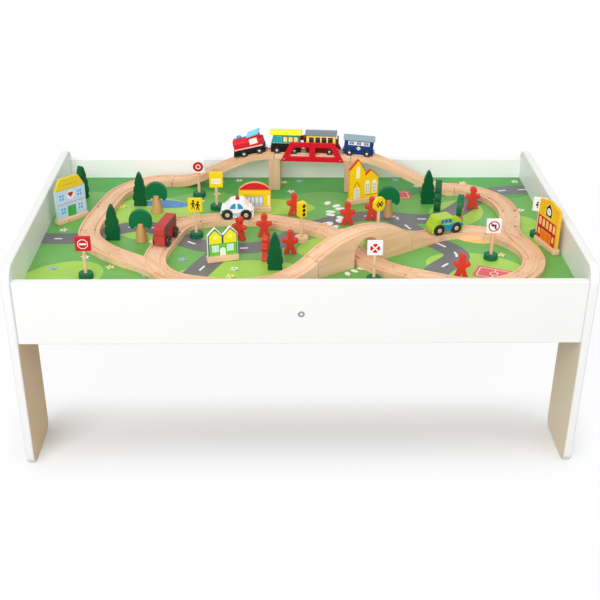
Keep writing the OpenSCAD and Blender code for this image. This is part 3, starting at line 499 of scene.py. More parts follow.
# a merged copy of a CAD node with softened edges, each board with its own grain
def sawnPiece(name, node, width, look=beech, limit=50.0, sideTone=0.0, reshape=None):
    part = newPart()
    part.from_mesh(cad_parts[node].data)
    part.transform(Matrix.Scale(1 / mm, 4))
    if reshape:
        reshape(part)
    bmesh.ops.remove_doubles(part, verts=part.verts, dist=0.003)
    bmesh.ops.dissolve_limit(part, angle_limit=math.radians(0.5), use_dissolve_boundaries=False,
                             verts=part.verts, edges=part.edges)
    if width > 0:
        roundEdges(part, width, 2, limit)
    dress(part)
    grain = part.verts.layers.float_vector["grain"]
    tone = part.verts.layers.float["tone"]
    part.verts.index_update()
    taken = set()
    count = 0
    for start in part.verts:
        if start.index in taken:
            continue
        board = boardOf(start, taken)
        points = np.array([v.co[:] for v in board])
        points -= points.mean(0)
        axes = np.linalg.svd(points, full_matrices=False)[2]
        shade = (count * 0.618 + 0.2) % 1.0
        for v, p in zip(board, points @ axes.T * mm):
            v[grain] = (p[0] + count * 0.37, p[1], p[2])
            area = sum(f.calc_area() for f in v.link_faces)
            flat = sum(f.calc_area() * abs(f.normal.z) for f in v.link_faces)
            v[tone] = shade + (sideTone if flat < 0.4 * area else 0.0)
        count += 1
    print(name, count, "boards")
    finishPiece(name, part, [look], node)


# camera, measured from the photograph's own perspective
view = {"place": (-0.0346, -1.8468, 1.1653), "pitch": 29.07, "yaw": 1.20, "roll": 0.41, "lens": 62.53,
        "rise": 0.0343}


def setCamera():
    pitch, yaw, roll = [math.radians(view[key]) for key in ("pitch", "yaw", "roll")]
    flat = math.cos(pitch)
    ahead = Vector((math.sin(yaw) * flat, math.cos(yaw) * flat, -math.sin(pitch)))
    right = Vector((math.cos(yaw), -math.sin(yaw), 0))
    up = right.cross(ahead)
    side = right * math.cos(roll) + up * math.sin(roll)
    top = up * math.cos(roll) - right * math.sin(roll)
    lensData = bpy.data.cameras.new("camera")
    lensData.lens = view["lens"]
    lensData.sensor_width = 36
    lensData.shift_y = view["rise"]
    camera = show("camera", lensData)
    camera.matrix_world = Matrix((side, top, -ahead)).transposed().to_4x4()
    camera.location = view["place"]
    bpy.context.scene.camera = camera


# a lamp is its power, place and size
studio = {"world": 0.62, "bounce": 0.5, "aim": (0, 0, 0.3), "floor": 6.0,
          "lamps": {"key": (104.0, (-1.2, -3.2, 2.6), 2.8), "fill": (19.0, (2.4, -2.4, 2.0), 2.5),
                    "top": (10.0, (0.4, 1.2, 3.2), 2.5)}}


def setLight():
    scene = bpy.context.scene
    scene.view_settings.view_transform = "Standard"
    world = bpy.data.worlds.new("studio")
    scene.world = world
    world.use_nodes = True
    w = Wire(world.node_tree)
    seen = w.ray("Is Camera Ray") + w.ray("Is Glossy Ray") + w.ray("Is Transmission Ray")
    ground = world.node_tree.nodes["Background"].inputs
    ground["Color"].default_value = (1, 1, 1, 1)
    w.feed(ground["Strength"], studio["world"] + w.calc("MINIMUM", seen, 1.0) * (1 - studio["world"]))
    for name, (power, spot, size) in studio["lamps"].items():
        lamp = bpy.data.lights.new(name, "AREA")
        lamp.energy = power
        lamp.size = size
        holder = show(name, lamp)
        holder.location = spot
        aim = Vector(studio["aim"]) - Vector(spot)
        holder.rotation_euler = aim.to_track_quat("-Z", "Y").to_euler()


# the floor glows away from the object and keeps its shadow near it
def setFloor():
    part = bmesh.new()
    bmesh.ops.create_grid(part, x_segments=8, y_segments=8, size=studio["floor"])
    mesh = meshOf("floor", part)
    floor = show("floor", mesh)
    finish, w = newFinish("paleFloor", Roughness=0.9, Specular_IOR_Level=0.1)
    spot = w.place()
    x = spot.axis(0)
    y = spot.axis(1)
    looked = w.ray("Is Camera Ray")
    pale = spot.noise(1.5).blend((0.91, 0.925, 0.95, 1), (0.93, 0.945, 0.97, 1))
    w.wear(Base_Color=looked.blend((*[studio["bounce"]] * 3, 1), pale))
    away = w.calc("SQRT", x * x + y * y)
    aside = w.calc("MAXIMUM", x.size().step(0.47, 0.58), (y + 0.2).size().step(0.0, 0.155))
    glow = w.node("ShaderNodeEmission", {"Color": (1, 1, 1, 1), "Strength": 1.0})
    share = looked * (aside * 0.94 + away.step(0.75, 1.5) * 0.06)
    solid = Wire(w.tree, w.tree.nodes["Principled BSDF"].outputs[0])
    mixed = w.node("ShaderNodeMixShader", {0: share, 1: solid, 2: glow})
    w.feed(w.tree.nodes["Material Output"].inputs[0], mixed)
    mesh.materials.append(finish)


setCamera()
setLight()
setFloor()
print("camera and studio set")

# levels of the object, in millimetres
boardTop = 338.0
trackTop = 350.0
deckTop = 418.0

table = {"length": 1000, "depth": 600, "height": 400, "panel": 15, "corner": 30, "leg": 133, "foot": 22,
         "cutout": 240, "cutoutRadius": 40, "edge": 3.2, "apronReach": 485, "apronFaces": (280, 295),
         "front": (257, 375), "back": (258, 380), "rail": ((-7.5, -280, 272), (7.5, 280, 332))}


def makeTable():
    t = table
    half = t["depth"] / 2
    inside = half - t["leg"]
    f = t["foot"]
    c = t["cutoutRadius"]
    k = t["corner"]
    back = (arc(inside - c, t["cutout"] - c, c, 90, 0) + arc(inside + f, f, f, 180, 270)
            + arc(half - f, f, f, 270, 360) + arc(half - k, t["height"] - k, k, 0, 90))
    for side, name in zip(sides, ("left", "right")):
        part = dress(plate(back + mirrored(back), t["panel"], t["edge"], 3))
        part.transform(lift(side * (t["length"] - t["panel"]) / 2, 0, 0) @ spun(90, "Z"))
        finishPiece("panel_" + name, part, [legPanel], name + "_end_panel")
    reach = t["apronReach"]
    for side, name in zip(sides, ("front", "back")):
        near, far = sorted(side * y for y in t["apronFaces"])
        low, high = t[name]
        part = dress(brick((-reach, near, low), (reach, far, high), 1.2, 3))
        finishPiece("apron_" + name, part, [whitePanel], name + "_apron")
    finishPiece("rail_centre", dress(brick(*t["rail"], 0.8)), [whitePanel], "centre_rail")


fittings = {"radius": 6.2, "rise": 0.7, "socket": 2.4, "levels": (276, 314), "railLevel": 314.857,
            "endFace": 500, "boltRow": 287.5, "outerFace": 295, "innerFace": 280, "nut": 5}


# bolt heads sit a hair proud, with a round socket; each nut cap on the inner faces carries a thin black bar
# for its slot, painted shade in place of a cut
def makeFittings():
    f = fittings
    r = f["radius"]
    h = f["rise"]
    s = f["socket"]
    head = [(0, -1.6), (s * 0.9, -1.6), (s, h - 0.1), (s + 0.3, h), (r - 1.2, h), (r - 0.3, h - 0.25), (r, 0),
            (r, -1.5)]
    corners = list(product(sides, sides, f["levels"]))
    spots = [lift(x * f["endFace"], y * f["boltRow"], z) @ spun(x * 90, "Y") for x, y, z in corners]
    spots += [lift(0, y * f["outerFace"], f["railLevel"]) @ spun(-y * 90, "X") for y in sides]
    heads = newPart()
    for spot in spots:
        put(heads, dress(lathe(head, 30)), spot)
    finishPiece("bolt_heads", heads, [steel], "connecting_bolts")
    n = f["nut"]
    cap = [(0, -2), (0, 0.1), (3.6, 0.3), (4.6, 0.1), (n, -0.4), (n, -2)]
    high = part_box("barrel_nuts")[1]
    nuts = newPart()
    for x, y, z in corners:
        part = dress(lathe(cap, 24))
        # the black bar is painted shade standing in for the slot's recess
        put(part, dress(brick((-3.6, -0.5, 0.2), (3.6, 0.5, 0.42), 0.1), slot=1))
        put(nuts, part, lift(x * (high.x / mm - n), y * f["innerFace"], z) @ spun(y * 90, "X"))
    finishPiece("barrel_nut_caps", nuts, [steel, rubberAndSlotShade], "barrel_nuts")
    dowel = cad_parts["dowels"]
    dowel.data.materials.clear()
    dowel.data.materials.append(beech)


makeTable()
makeFittings()
print("table built")

archMiddle = (110, -133, 33)
passage = {"half": 28.6, "foot": 1.0, "top": 47.0, "rise": 7.0}


# the passage under the arch is taller than its node's
def openUp(part):
    turn = math.radians(archMiddle[2])
    for v in part.verts:
        u = (v.co.x - archMiddle[0]) * math.cos(turn) + (v.co.y - archMiddle[1]) * math.sin(turn)
        if abs(u) < passage["half"] and passage["foot"] < v.co.z - boardTop < passage["top"]:
            v.co.z += passage["rise"]


sawnPiece("tracks_flat", "flat_tracks", 0.9)
sawnPiece("tracks_switch", "switch_tracks", 0)
sawnPiece("overpass_ramp_pair", "overpass_ramps", 0.8)
sawnPiece("overpass_deck_board", "overpass_deck", 0.8)
# the piers take the darker pier wood, painted shade under the deck
sawnPiece("overpass_pier_pair", "overpass_piers", 1.0, pinkShadedBeech, 40.0)
sawnPiece("arch_block", "arch_bridge", 0.9, sideTone=1.3, reshape=openUp)
sawnPiece("arch_ramp_pair", "arch_ramps", 0.8)
print("railway built")

overpass = (33, 221, -4.9)
sidePlates = {"red": tint(214, 10, 38), "low": 131, "top": 90, "height": 41, "frame": 10.5, "post": 13,
              "thick": 5, "foot": 13.5, "aside": 22.5, "pins": (-58, 58)}


def makeSidePlates():
    s = sidePlates
    half = s["low"] / 2
    crest = s["top"] / 2
    h = s["height"]
    slant = (half - crest) / h
    low = s["frame"]
    high = h - low
    middle = s["post"] / 2
    outer = half - s["post"]
    rim = [(-half, 0), (half, 0), (crest, h), (-crest, h)]
    window = [(middle, low), (outer - slant * low, low), (outer - slant * high, high), (middle, high)]
    pin = [(0, 0.5), (0.9, 0.45), (1.3, 0.1), (1.4, -0.5)]
    whole = newPart()
    for side in sides:
        spot = seat(overpass, deckTop - s["foot"]) @ lift(0, side * s["aside"], 0)
        part = newPart()
        loops = []
        for outline in (rim, window, mirrored(window)):
            ring = [part.verts.new((x, -s["thick"] / 2, z)) for x, z in outline]
            loops += [part.edges.new(pair) for pair in zip(ring, ring[1:] + ring[:1])]
        bmesh.ops.triangle_fill(part, use_beauty=True, use_dissolve=False, edges=loops)
        put(whole, dress(thicken(part, s["thick"], 0.7, 2), s["red"]), spot)
        for x in s["pins"]:
            stand = spot @ lift(x, side * s["thick"] / 2, 4.5) @ spun(-side * 90, "X")
            put(whole, dress(lathe(pin, 16), slot=1), stand)
    finishPiece("bridge_side_pair", whole, [glossPaint, steel], "bridge_sides")


makeSidePlates()

wheels = {"train": 6.8, "car": 10.5, "thick": 4.0, "gauge": 13.0, "sunk": 1.9, "axle": 1.4, "reach": 14}


# two wheels on an axle along Y: rounded tyre, dished face, domed pin
def makeWheels(node, spot, x, radius, dark):
    t = wheels["thick"] / 2
    r = radius
    a = wheels["axle"]
    end = wheels["reach"]
    car = radius == wheels["car"]
    hub = 0.36 * r if car else 0.48 * r
    face = [(hub, t - 0.5), (hub * 1.25, t - 0.3), (r * 0.62, t - 0.5), (r * 0.72, t), (r - 0.9, t),
            (r - 0.25, t - 0.35), (r, t - 1.0), (r, 1.0 - t), (r - 0.25, 0.35 - t), (r - 0.9, -t), (a, -t)]
    cap = [(0, t + 0.9), (hub * 0.5, t + 0.75), (hub * 0.8, t + 0.3), (hub, t - 0.5), (hub, t - 1.2)]
    ring = [(hub * 0.55, t + 0.2), (hub * 0.9, t + 0.3), (hub * 1.12, t), (hub * 1.12, t - 0.8)]
    pin = [(0, t + 0.55), (hub * 0.4, t + 0.45), (hub * 0.58, t + 0.1)]
    axle = [(0, -end), (a, -end), (a, end), (0, end)]
    centre = spot @ lift(x, 0, r - wheels["sunk"])
    whole = newPart()
    for side in sides:
        stand = centre @ lift(0, side * wheels["gauge"], 0) @ spun(-side * 90, "X")
        put(whole, dress(lathe(face, 40)), stand)
        if car:
            put(whole, dress(lathe(ring, 28), slot=0 if dark else 2, fibres=upright), stand)
            put(whole, dress(lathe(pin, 20), slot=1), stand)
        else:
            put(whole, dress(lathe(cap, 28), slot=1), stand)
    put(whole, dress(lathe(axle, 16), slot=1), centre @ spun(90, "X"))
    name = node.replace("_wheels", "_wheelset")
    finishPiece(name, whole, [rubberAndSlotShade, steel, beech], node, node)


def wheelPairs(vehicle, spot, front, radius, dark=False):
    makeWheels(vehicle + "_front_wheels", spot, front, radius, dark)
    makeWheels(vehicle + "_rear_wheels", spot, -front, radius, dark)


# the bends at both ends of the overpass have this radius
bend = 170


def onBend(place, angle, chord):
    middle = seat(along(overpass, place), deckTop - bend)
    return middle @ spun(angle, "Y") @ lift(0, 0, bend - sag(bend, chord))


axleLift = 12.2
magnet = {"level": 7.2, "seat": [(0, 0), (4, 0), (4, 0.8), (3.8, 1.1), (0, 1.1)],
          "nose": [(0, 3.9), (2.8, 3.9), (3.6, 3.6), (3.9, 3.1), (3.9, 2.2), (3.3, 1.8), (3.3, 0.8)]}


# a chassis with coupling magnets, a steel ring on each
def makeChassis(front, back, colour, high, noses):
    whole = dress(brick((front, -10, 1.2), (back, 10, high), 1.0), colour)
    for way in noses:
        stand = lift(front if way < 0 else back, 0, magnet["level"]) @ spun(way * 90, "Y")
        put(whole, dress(lathe(magnet["seat"], 24), colour), stand)
        put(whole, dress(lathe(magnet["nose"], 24), slot=1), stand)
    return whole


engine = {"place": (-83, -14.492), "front": -34, "back": 28, "boilerBack": -1, "rise": 3, "half": 15,
          "bow": 9, "boilerTop": 21, "axles": 16.5, "roofHalf": 16.5, "roof": (-2.5, 24.5), "roofThick": 3.5,
          "chimney": -20,
          **tints(red=(226, 30, 50), cyan=(92, 216, 252), knob=(84, 164, 210), pink=(246, 208, 210),
                  white=(250, 248, 246), black=(26, 26, 28))}


def roofLine(x):
    return 23 + 0.14 * (x + 1)


def makeEngine():
    e = engine
    spot = onBend(*e["place"], 2 * e["axles"])
    front = e["front"]
    back = e["back"]
    half = e["half"]
    bow = e["bow"]
    rim = e["boilerTop"] - bow
    deck = axleLift + e["rise"]
    base = spot @ lift(0, 0, deck)
    section = ([(-half, 0), (half, 0)] + arc(half - bow, rim, bow, 0, 90, 10)
               + arc(bow - half, rim, bow, 90, 180, 10))
    body = dress(plate(section, e["boilerBack"] - front, 1.2, 3), e["red"])
    body.transform(base @ lift((e["boilerBack"] + front) / 2, 0, 0) @ spun(90, "Z"))
    cab = [(-1.5, 0), (back, 0), (back, 14), (22.5, 15.5), (21.5, roofLine(21.5)), (-1.5, 23)]
    put(body, dress(plate(cab, 2 * half, 0.9), e["red"]), base)
    frameMark = [(0.9, 6.8), (19.2, 7.9), (18.9, 20.8), (2.2, 20.4), (0.4, 16.9)]
    window = [(1.5, 7.5), (18.5, 8.5), (18.2, 20.0), (2.6, 19.6), (1.2, 16.5)]
    stripe = rect(front + 1.4, 0.9, back - 1.2, 3.4)
    marks = [(0, "pink", stripe), (0, "red", frameMark), (1, "white", window)]
    bothFaces(body, marks, e, half, base)
    lamp = lathe([(0, 1.6), (2.2, 1.5), (3, 0.9), (3.2, 0)], 20)
    put(body, dress(lamp, e["black"]), base @ lift(front, 0, 12) @ spun(-90, "Y"))
    band = lathe([(0, 5.6), (2.2, 5.4), (3.2, 4.2), (3.0, 0)], 20)
    put(body, dress(band, e["red"]), base @ lift(25.5, 0, 12.6))
    finishPiece("engine_shell", body, [satinPaint, steel], "engine_body", "engine")

    under = makeChassis(front - 1, back + 1, e["black"], deck, (1,))
    catcher = [(front - 6, 1.2), (front + 2, 1.2), (front + 2, deck), (front - 2, deck), (front - 5, 6)]
    put(under, dress(plate(catcher, 20), e["black"]))
    for y in (-12.5, 12.5):
        put(under, dress(brick((front - 1, y - 2.4, 9.6), (back + 1, y + 2.4, deck), 0.5), e["black"]))
    under.transform(spot)
    finishPiece("engine_underframe", under, [satinPaint, steel], "engine_chassis", "engine")

    low, high = e["roof"]
    slab = [(low, roofLine(low)), (high, roofLine(high)), (high, roofLine(high) + e["roofThick"]),
            (low, roofLine(low) + e["roofThick"])]
    roof = dress(plate(slab, 2 * e["roofHalf"], 1.1, 3), e["cyan"])
    roof.transform(base)
    finishPiece("engine_roof", roof, [glossPaint], "engine_cab_roof", "engine")

    shape = [(0, -1), (3.6, -1), (3.6, 0.8), (4.2, 1.4), (5.2, 2.6), (5.2, 4.6), (4.6, 5.8), (3.4, 6.4),
             (2.6, 6.4), (2.2, 5.6), (0, 5.4)]
    knob = dress(lathe(shape, 32), e["knob"])
    knob.transform(base @ lift(e["chimney"], 0, e["boilerTop"]))
    finishPiece("engine_stack", knob, [glossPaint], "engine_chimney", "engine")
    wheelPairs("engine", spot, -e["axles"], wheels["train"])


coach = {"first": -56, "second": 17, "third": (83, 3.674), "half": 30, "side": 15, "sole": 9, "wall": 18,
         "lowWall": 11, "rise": 7, "over": 2.5, "roofHalf": 16.5, "axles": 18, "slant": 5,
         **tints(black=(26, 26, 28), teal=(22, 142, 140), doorBlue=(36, 165, 190), doorLine=(120, 205, 200),
                 amber=(250, 206, 60), pale=(252, 246, 204), yellow=(252, 236, 4), cream=(255, 236, 92),
                 pane=(56, 40, 58), slate=(118, 126, 140), maroon=(128, 14, 32), navy=(14, 60, 124),
                 mist=(140, 164, 174), white=(245, 247, 250), glass=(110, 130, 170))}
soleTop = axleLift + coach["sole"]


def coachRoof(name, spot, wall, colour):
    c = coach
    half = c["roofHalf"]
    section = [(-half, 0), (half, 0)] + bowed(half, c["rise"] - 2, c["rise"], 16)
    roof = dress(plate(section, 2 * (c["half"] + c["over"]), 0.9, 3), c[colour])
    roof.transform(spot @ lift(0, 0, soleTop + wall) @ spun(90, "Z"))
    finishPiece(name + "_top", roof, [glossPaint], name + "_roof", name)


def coachBox(spot, wall, colour, marks, slant=0):
    half = coach["half"]
    side = coach["side"]
    outline = [(-half, 0), (half, 0), (half, wall), (slant - half, wall)]
    box = dress(plate(outline, 2 * side, 1.0, 3), coach[colour])
    bothFaces(box, marks, coach, side)
    box.transform(spot @ lift(0, 0, soleTop))
    return box


def coachUnder(spot, colour):
    half = coach["half"]
    side = coach["side"]
    paint = coach[colour]
    part = makeChassis(-half - 1, half + 1, paint, axleLift, sides)
    put(part, dress(brick((-half, -side, axleLift), (half, side, soleTop), 0.9, 3), paint))
    for end, y in product(sides, (-12, 12)):
        x = end * coach["axles"]
        put(part, dress(brick((x - 4, y - 2.2, 8.6), (x + 4, y + 2.2, 13), 0.8), paint))
    part.transform(spot)
    return part


def makeCoaches():
    c = coach
    first = seat(along(overpass, c["first"]), deckTop)
    slantEnd = [(-28.4, 2.0), (-20.2, 2.0), (-20.2, 16.6), (-24.6, 16.6)]
    marks = [(0, "doorLine", rect(-29, 0.6, 29, 2.0)), (1, "doorBlue", slantEnd),
             (1, "doorLine", softRect(-18.2, 1.2, -7.8, 16.0, 2.8)),
             (2, "doorBlue", softRect(-17.2, 2.0, -8.8, 15.0, 2.2))]
    for x in (-0.4, 10.4, 21.3):
        marks += [(1, "amber", softRect(x - 4.2, 3.6, x + 4.2, 14.4, 1.6)),
                  (2, "pale", softRect(x - 2.9, 5.0, x + 2.9, 13.0, 1.0)),
                  (3, "amber", post(x, 0.5, 5.0, 13.0)), (3, "amber", post(x, 2.9, 8.6, 9.5))]
    box = coachBox(first, c["wall"], "teal", marks, c["slant"])
    finishPiece("first_coach_cabin", box, [glossPaint], "first_coach_body", "first_coach")
    finishPiece("first_coach_underframe", coachUnder(first, "black"), [satinPaint, steel],
                "first_coach_chassis", "first_coach")
    coachRoof("first_coach", first, c["wall"], "yellow")

    second = seat(along(overpass, c["second"]), deckTop)
    marks = []
    for x in (-19.5, -6.5, 6.5, 19.5):
        marks += [(0, "slate", softRect(x - 5.2, 3.6, x + 5.2, 15.4, 1.0)),
                  (1, "pane", softRect(x - 4.6, 4.2, x + 4.6, 14.8, 0.8)),
                  (2, "slate", post(x, 4.6, 11.2, 11.8))]
    box = coachBox(second, c["wall"], "cream", marks)
    finishPiece("second_coach_cabin", box, [glossPaint], "second_coach_body", "second_coach")
    under = coachUnder(second, "maroon")
    for end in sides:
        for inner, low, high in ((29, axleLift, soleTop), (33, soleTop - 1, soleTop + 11)):
            near, far = sorted((end * inner, end * 36))
            put(under, dress(brick((near, -14, low), (far, 14, high), 0.8), c["maroon"]), second)
    finishPiece("second_coach_underframe", under, [satinPaint, steel], "second_coach_chassis",
                "second_coach")
    coachRoof("second_coach", second, c["wall"], "slate")

    third = onBend(*c["third"], 2 * c["axles"])
    marks = [(0, "white", rect(-22, 1.6, 22, 9.6))]
    marks += [(1, "glass", post(x, 2.1, 3.0, 8.6)) for x in (-17.5, -12.5, -2.5, 2.5, 12.5, 17.5)]
    marks += [(0, "white", disc(0, -4.6, 4.6, 4)), (1, "navy", disc(0, -4.6, 1.5, 4))]
    box = coachBox(third, c["lowWall"], "navy", marks)
    put(box, coachUnder(third, "navy"))
    finishPiece("third_coach_cabin", box, [glossPaint, steel], "third_coach_body",
                "third_coach")
    coachRoof("third_coach", third, c["lowWall"], "mist")
    for name, spot in (("first", first), ("second", second), ("third", third)):
        wheelPairs(name + "_coach", spot, -c["axles"], wheels["train"])


makeEngine()
makeCoaches()
print("train built")

cars = {"sill": 3.0, "side": 14.5, "well": 1.2, "lip": 0.6, "keel": (9.9, 3.2, 24), "wagonSide": 10,
        "whiteBase": 36.5, "greenBase": 36, "wagonBase": 41.5, "whiteBend": 202, "greenBend": 100,
        **tints(white=(253, 253, 255), glass=(36, 154, 222), check=(44, 132, 192), mintCheck=(90, 190, 200),
                shine=(96, 176, 228), beacon=(166, 16, 34), lime=(168, 204, 40), band=(22, 138, 200),
                pane=(40, 112, 190), red=(188, 62, 60), darkRed=(120, 36, 40), shade=(112, 82, 80))}


# a side view cut from thick wood: full width above the wheels, a keel between them
def carBody(upper, wheelbase, colour, marks):
    sill = cars["sill"]
    side = cars["side"]
    well = wheels["car"] + cars["well"]
    level = wheels["car"] - wheels["sunk"]
    drop = math.degrees(math.asin((level - sill) / well))
    (back, front), *rest = upper
    arches = []
    for end in sides:
        arches += arc(end * wheelbase / 2, level, well, 180 + drop, -drop, 20)
    low = min(back, min(x for x, z in arches) - cars["lip"])
    high = max(front, max(x for x, z in arches) + cars["lip"])
    whole = dress(plate([(low, sill)] + arches + [(high, sill)] + rest, 2 * side, 1.6, 3), colour)
    reach = wheelbase / 2 + well - 1
    half, foot, top = cars["keel"]
    put(whole, dress(brick((-reach, -half, foot), (reach, half, top), 0.5), colour))
    bothFaces(whole, marks, cars, side)
    return whole


def chequer(x0, z0, x1, z1, columns, rows, colours):
    w = (x1 - x0) / columns
    h = (z1 - z0) / rows
    return [(0, colours[(i + j + 1) % 2], rect(x0 + i * w, z0 + j * h, x0 + i * w + w, z0 + j * h + h))
            for i in range(columns) for j in range(rows)]


def makeWhiteCar():
    c = cars
    r = c["whiteBend"]
    spot = seat(beside(veered((-193, 28, 21), r, -21.2), -sag(r, c["whiteBase"])), trackTop)
    upper = ([(-29.5, 32.5)] + arc(27.5, 13, 6, -30, 70) + arc(8.5, 25, 12, 30, 90)
             + arc(-5.5, 25, 12, 90, 150) + arc(-25.5, 14, 6, 110, 200))
    left = [(-13.6, 21.6), (-1.6, 21.6), (-1.6, 32.6), (-5.8, 32.4), (-9.8, 29.6), (-12.4, 25.2)]
    right = [(2, 21.6), (13.6, 21.6), (12.4, 25.2), (9.8, 29.4), (6, 32.4), (2, 32.6)]
    mint = ("check", "mintCheck")
    marks = [(0, "glass", left), (0, "glass", right)]
    marks += chequer(-6.6, 5.6, 6.6, 13.4, 6, 3, ("check", "white"))
    marks += chequer(-29.4, 15.2, -25.8, 18.8, 2, 2, mint) + chequer(28.2, 14.6, 32, 18.2, 2, 2, mint)
    # the lighter slanted streak on the left window is a painted reflection
    marks.append((1, "shine", [(-10.6, 25.4), (-7.4, 30), (-6.2, 30), (-9.4, 25.4)]))
    body = carBody(upper, c["whiteBase"], c["white"], marks)
    body.transform(spot)
    finishPiece("white_car_shell", body, [glossPaint], "white_car_body", "white_car")
    shape = [(0, -0.6), (4.4, -0.6), (4.4, 0.4), (3.7, 0.8), (3.5, 3.6), (3.0, 5.2), (1.8, 6.2), (0, 6.4)]
    beacon = dress(lathe(shape, 28), c["beacon"])
    beacon.transform(spot @ lift(1.5, 0, 37))
    finishPiece("white_car_lamp", beacon, [glossPaint], "white_car_beacon", "white_car")
    wheelPairs("white_car", spot, -c["whiteBase"] / 2, wheels["car"])


def makeGreenCar():
    c = cars
    r = c["greenBend"]
    spot = seat(beside(veered(along(archMiddle, 176), r, -12.5), -sag(r, c["greenBase"])), trackTop)
    upper = ([(-33, 33)] + arc(29, 14, 5, -20, 80) + arc(7, 25, 8, 40, 90) + arc(-19, 25, 8, 90, 160)
             + arc(-30, 12, 4, 150, 200))
    band = [(-6.2, 4.4), (6.2, 4.4), (8.4, 13), (12, 18), (18, 20.4), (25, 18), (29, 12.5), (32.6, 12.5),
            (32.2, 16.6), (29.4, 18.4), (24, 20.8), (16, 21.8), (8, 20.2), (0, 17.6), (-8, 19.6), (-14, 21),
            (-6.8, 13)]
    marks = [(0, "band", band)]
    panes = (((-17.5, -10.5), (-8.6, -14.6)), ((-9.2, -2.4), (-1.4, -7.4)), ((-1.1, 8.6), (5.2, -0.2)))
    for low, high in panes:
        marks.append((1, "pane", [(x, 22.2) for x in low] + [(x, 30.2) for x in high]))
    body = carBody(upper, c["greenBase"], c["lime"], marks)
    body.transform(spot)
    finishPiece("green_car_shell", body, [glossPaint], "green_car_body", "green_car")
    wheelPairs("green_car", spot, c["greenBase"] / 2, wheels["car"])


def makeWagon():
    c = cars
    side = c["wagonSide"]
    spot = seat(along((-257, -102, 76), 34.5), trackTop)
    wagon = dress(brick((-34.4, -side, 3), (34.4, side, 22.4), 0.8), c["red"])
    # a dark red strip in the groove between the lower block and the hood: painted shade
    put(wagon, dress(brick((-34, 0.1 - side, 22), (34, side - 0.1, 24), 0), c["darkRed"]))
    hood = [(-35, 23.4), (35, 23.4), (35, 40), (-27, 40), (-35, 35)]
    put(wagon, dress(plate(hood, 2 * side, 0.9, 3), c["red"]))
    panel = [(-33.4, 27), (33.4, 27), (33.4, 38.8), (-27, 38.8), (-33.4, 34.8)]
    marks = [(0, "shade", panel)] + [(1, "darkRed", post(x, 0.4, 27, 38.8)) for x in (-16.7, 0, 16.7)]
    bothFaces(wagon, marks, c, side)
    wagon.transform(spot)
    finishPiece("wagon_shell", wagon, [satinPaint], "wagon_body", "wagon")
    wheelPairs("wagon", spot, -c["wagonBase"] / 2, wheels["car"], True)


makeWhiteCar()
makeGreenCar()
makeWagon()
print("cars built")

houses = {"thick": 6, "foot": 11, "depth": 14, "over": 1.5, "low": 0.8,
          "places": {"clinic": ((-444.5, 51, 44), 68), "station": ((-86, 95, 0), 64),
                     "chapel": ((134, 140, 19), 64), "twin": ((-140, -132, 16), 56),
                     "brigade": ((463, -80, -73), 70)}}
ground = houses["low"]


def makeFeet():
    whole = newPart()
    half = houses["depth"] / 2
    for i, (spot, width) in enumerate(houses["places"].values()):
        reach = width / 2 + houses["over"]
        foot = brick((-reach, -half, 0), (reach, half, houses["foot"]), 1.6, 3)
        put(whole, dress(foot, tone=(i * 0.37) % 1), seat(spot, boardTop))
    finishPiece("building_feet_set", whole, [beech], "building_feet")


# the faces above the eaves that look up take the roof's colour
def makeHouse(name, node, outline, look, marks, eaves=None):
    block = dress(plate(outline, houses["thick"], 0.9), look["edge"])
    if eaves:
        for face in block.faces:
            face.normal_update()
            if face.calc_center_median().z > eaves and face.normal.z > 0.1:
                brush(block, [face], look["roof"])
    bothFaces(block, marks, look, houses["thick"] / 2)
    block.transform(seat(houses["places"][name][0], boardTop + houses["foot"]))
    finishPiece("house_" + name, block, [satinPaint], node)


clinic = tints(wall=(186, 220, 240), roof=(236, 206, 46), blue=(118, 176, 226), white=(232, 242, 248),
               line=(150, 72, 130), doorFrame=(40, 128, 58), door=(66, 176, 76), heart=(196, 34, 56),
               ridge=(214, 168, 40), edge=(196, 214, 224))


def makeClinic():
    lobe = arc(0.5, 0.45, 0.52, -20, 165, 10)
    heart = placed([(0, -0.85)] + lobe + mirrored(lobe), 0, 44, 0, 6)
    marks = [(0, "wall", rect(-33, ground, 33, 57)),
             (0, "roof", [(-33, 57), (33, 57), (20.6, 79.2), (-20.6, 79.2)]),
             (1, "white", rect(-33, 27.2, 33, 30.4)), (2, "line", rect(-33, 28.1, 33, 29.5))]
    for x, z in ((-21, 36), (20, 37), (-19, 8), (20, 9)):
        marks.append((1, "white", rect(x - 6.5, z - 1, x + 6.5, z + 14)))
        for left, low in product((x - 5.5, x + 0.5), (z, z + 7)):
            marks.append((2, "blue", rect(left, low, left + 5, low + 6)))
    marks += [(1, "doorFrame", rect(-9, ground, 9, 22)), (2, "door", rect(-7.8, ground, 7.8, 20.8)),
              (1, "white", disc(0, 44, 9.5)), (2, "heart", heart),
              (1, "ridge", rect(-33, 57, 33, 58.2)), (1, "ridge", rect(-17, 66, 17, 67.4))]
    outline = [(-34, 0), (34, 0), (34, 57), (21, 80), (-21, 80), (-34, 57)]
    makeHouse("clinic", "hospital", outline, clinic, marks, 57)


station = {"half": 32, "eaves": 36, "top": 52,
           **tints(red=(212, 36, 42), gold=(250, 214, 30), grey=(206, 212, 220), pale=(252, 240, 190),
                   rim=(244, 176, 120), lintel=(232, 186, 20), gate=(150, 156, 166), glass=(236, 240, 245),
                   ledge=(214, 160, 20), edge=(240, 196, 60), roof=(244, 182, 130))}


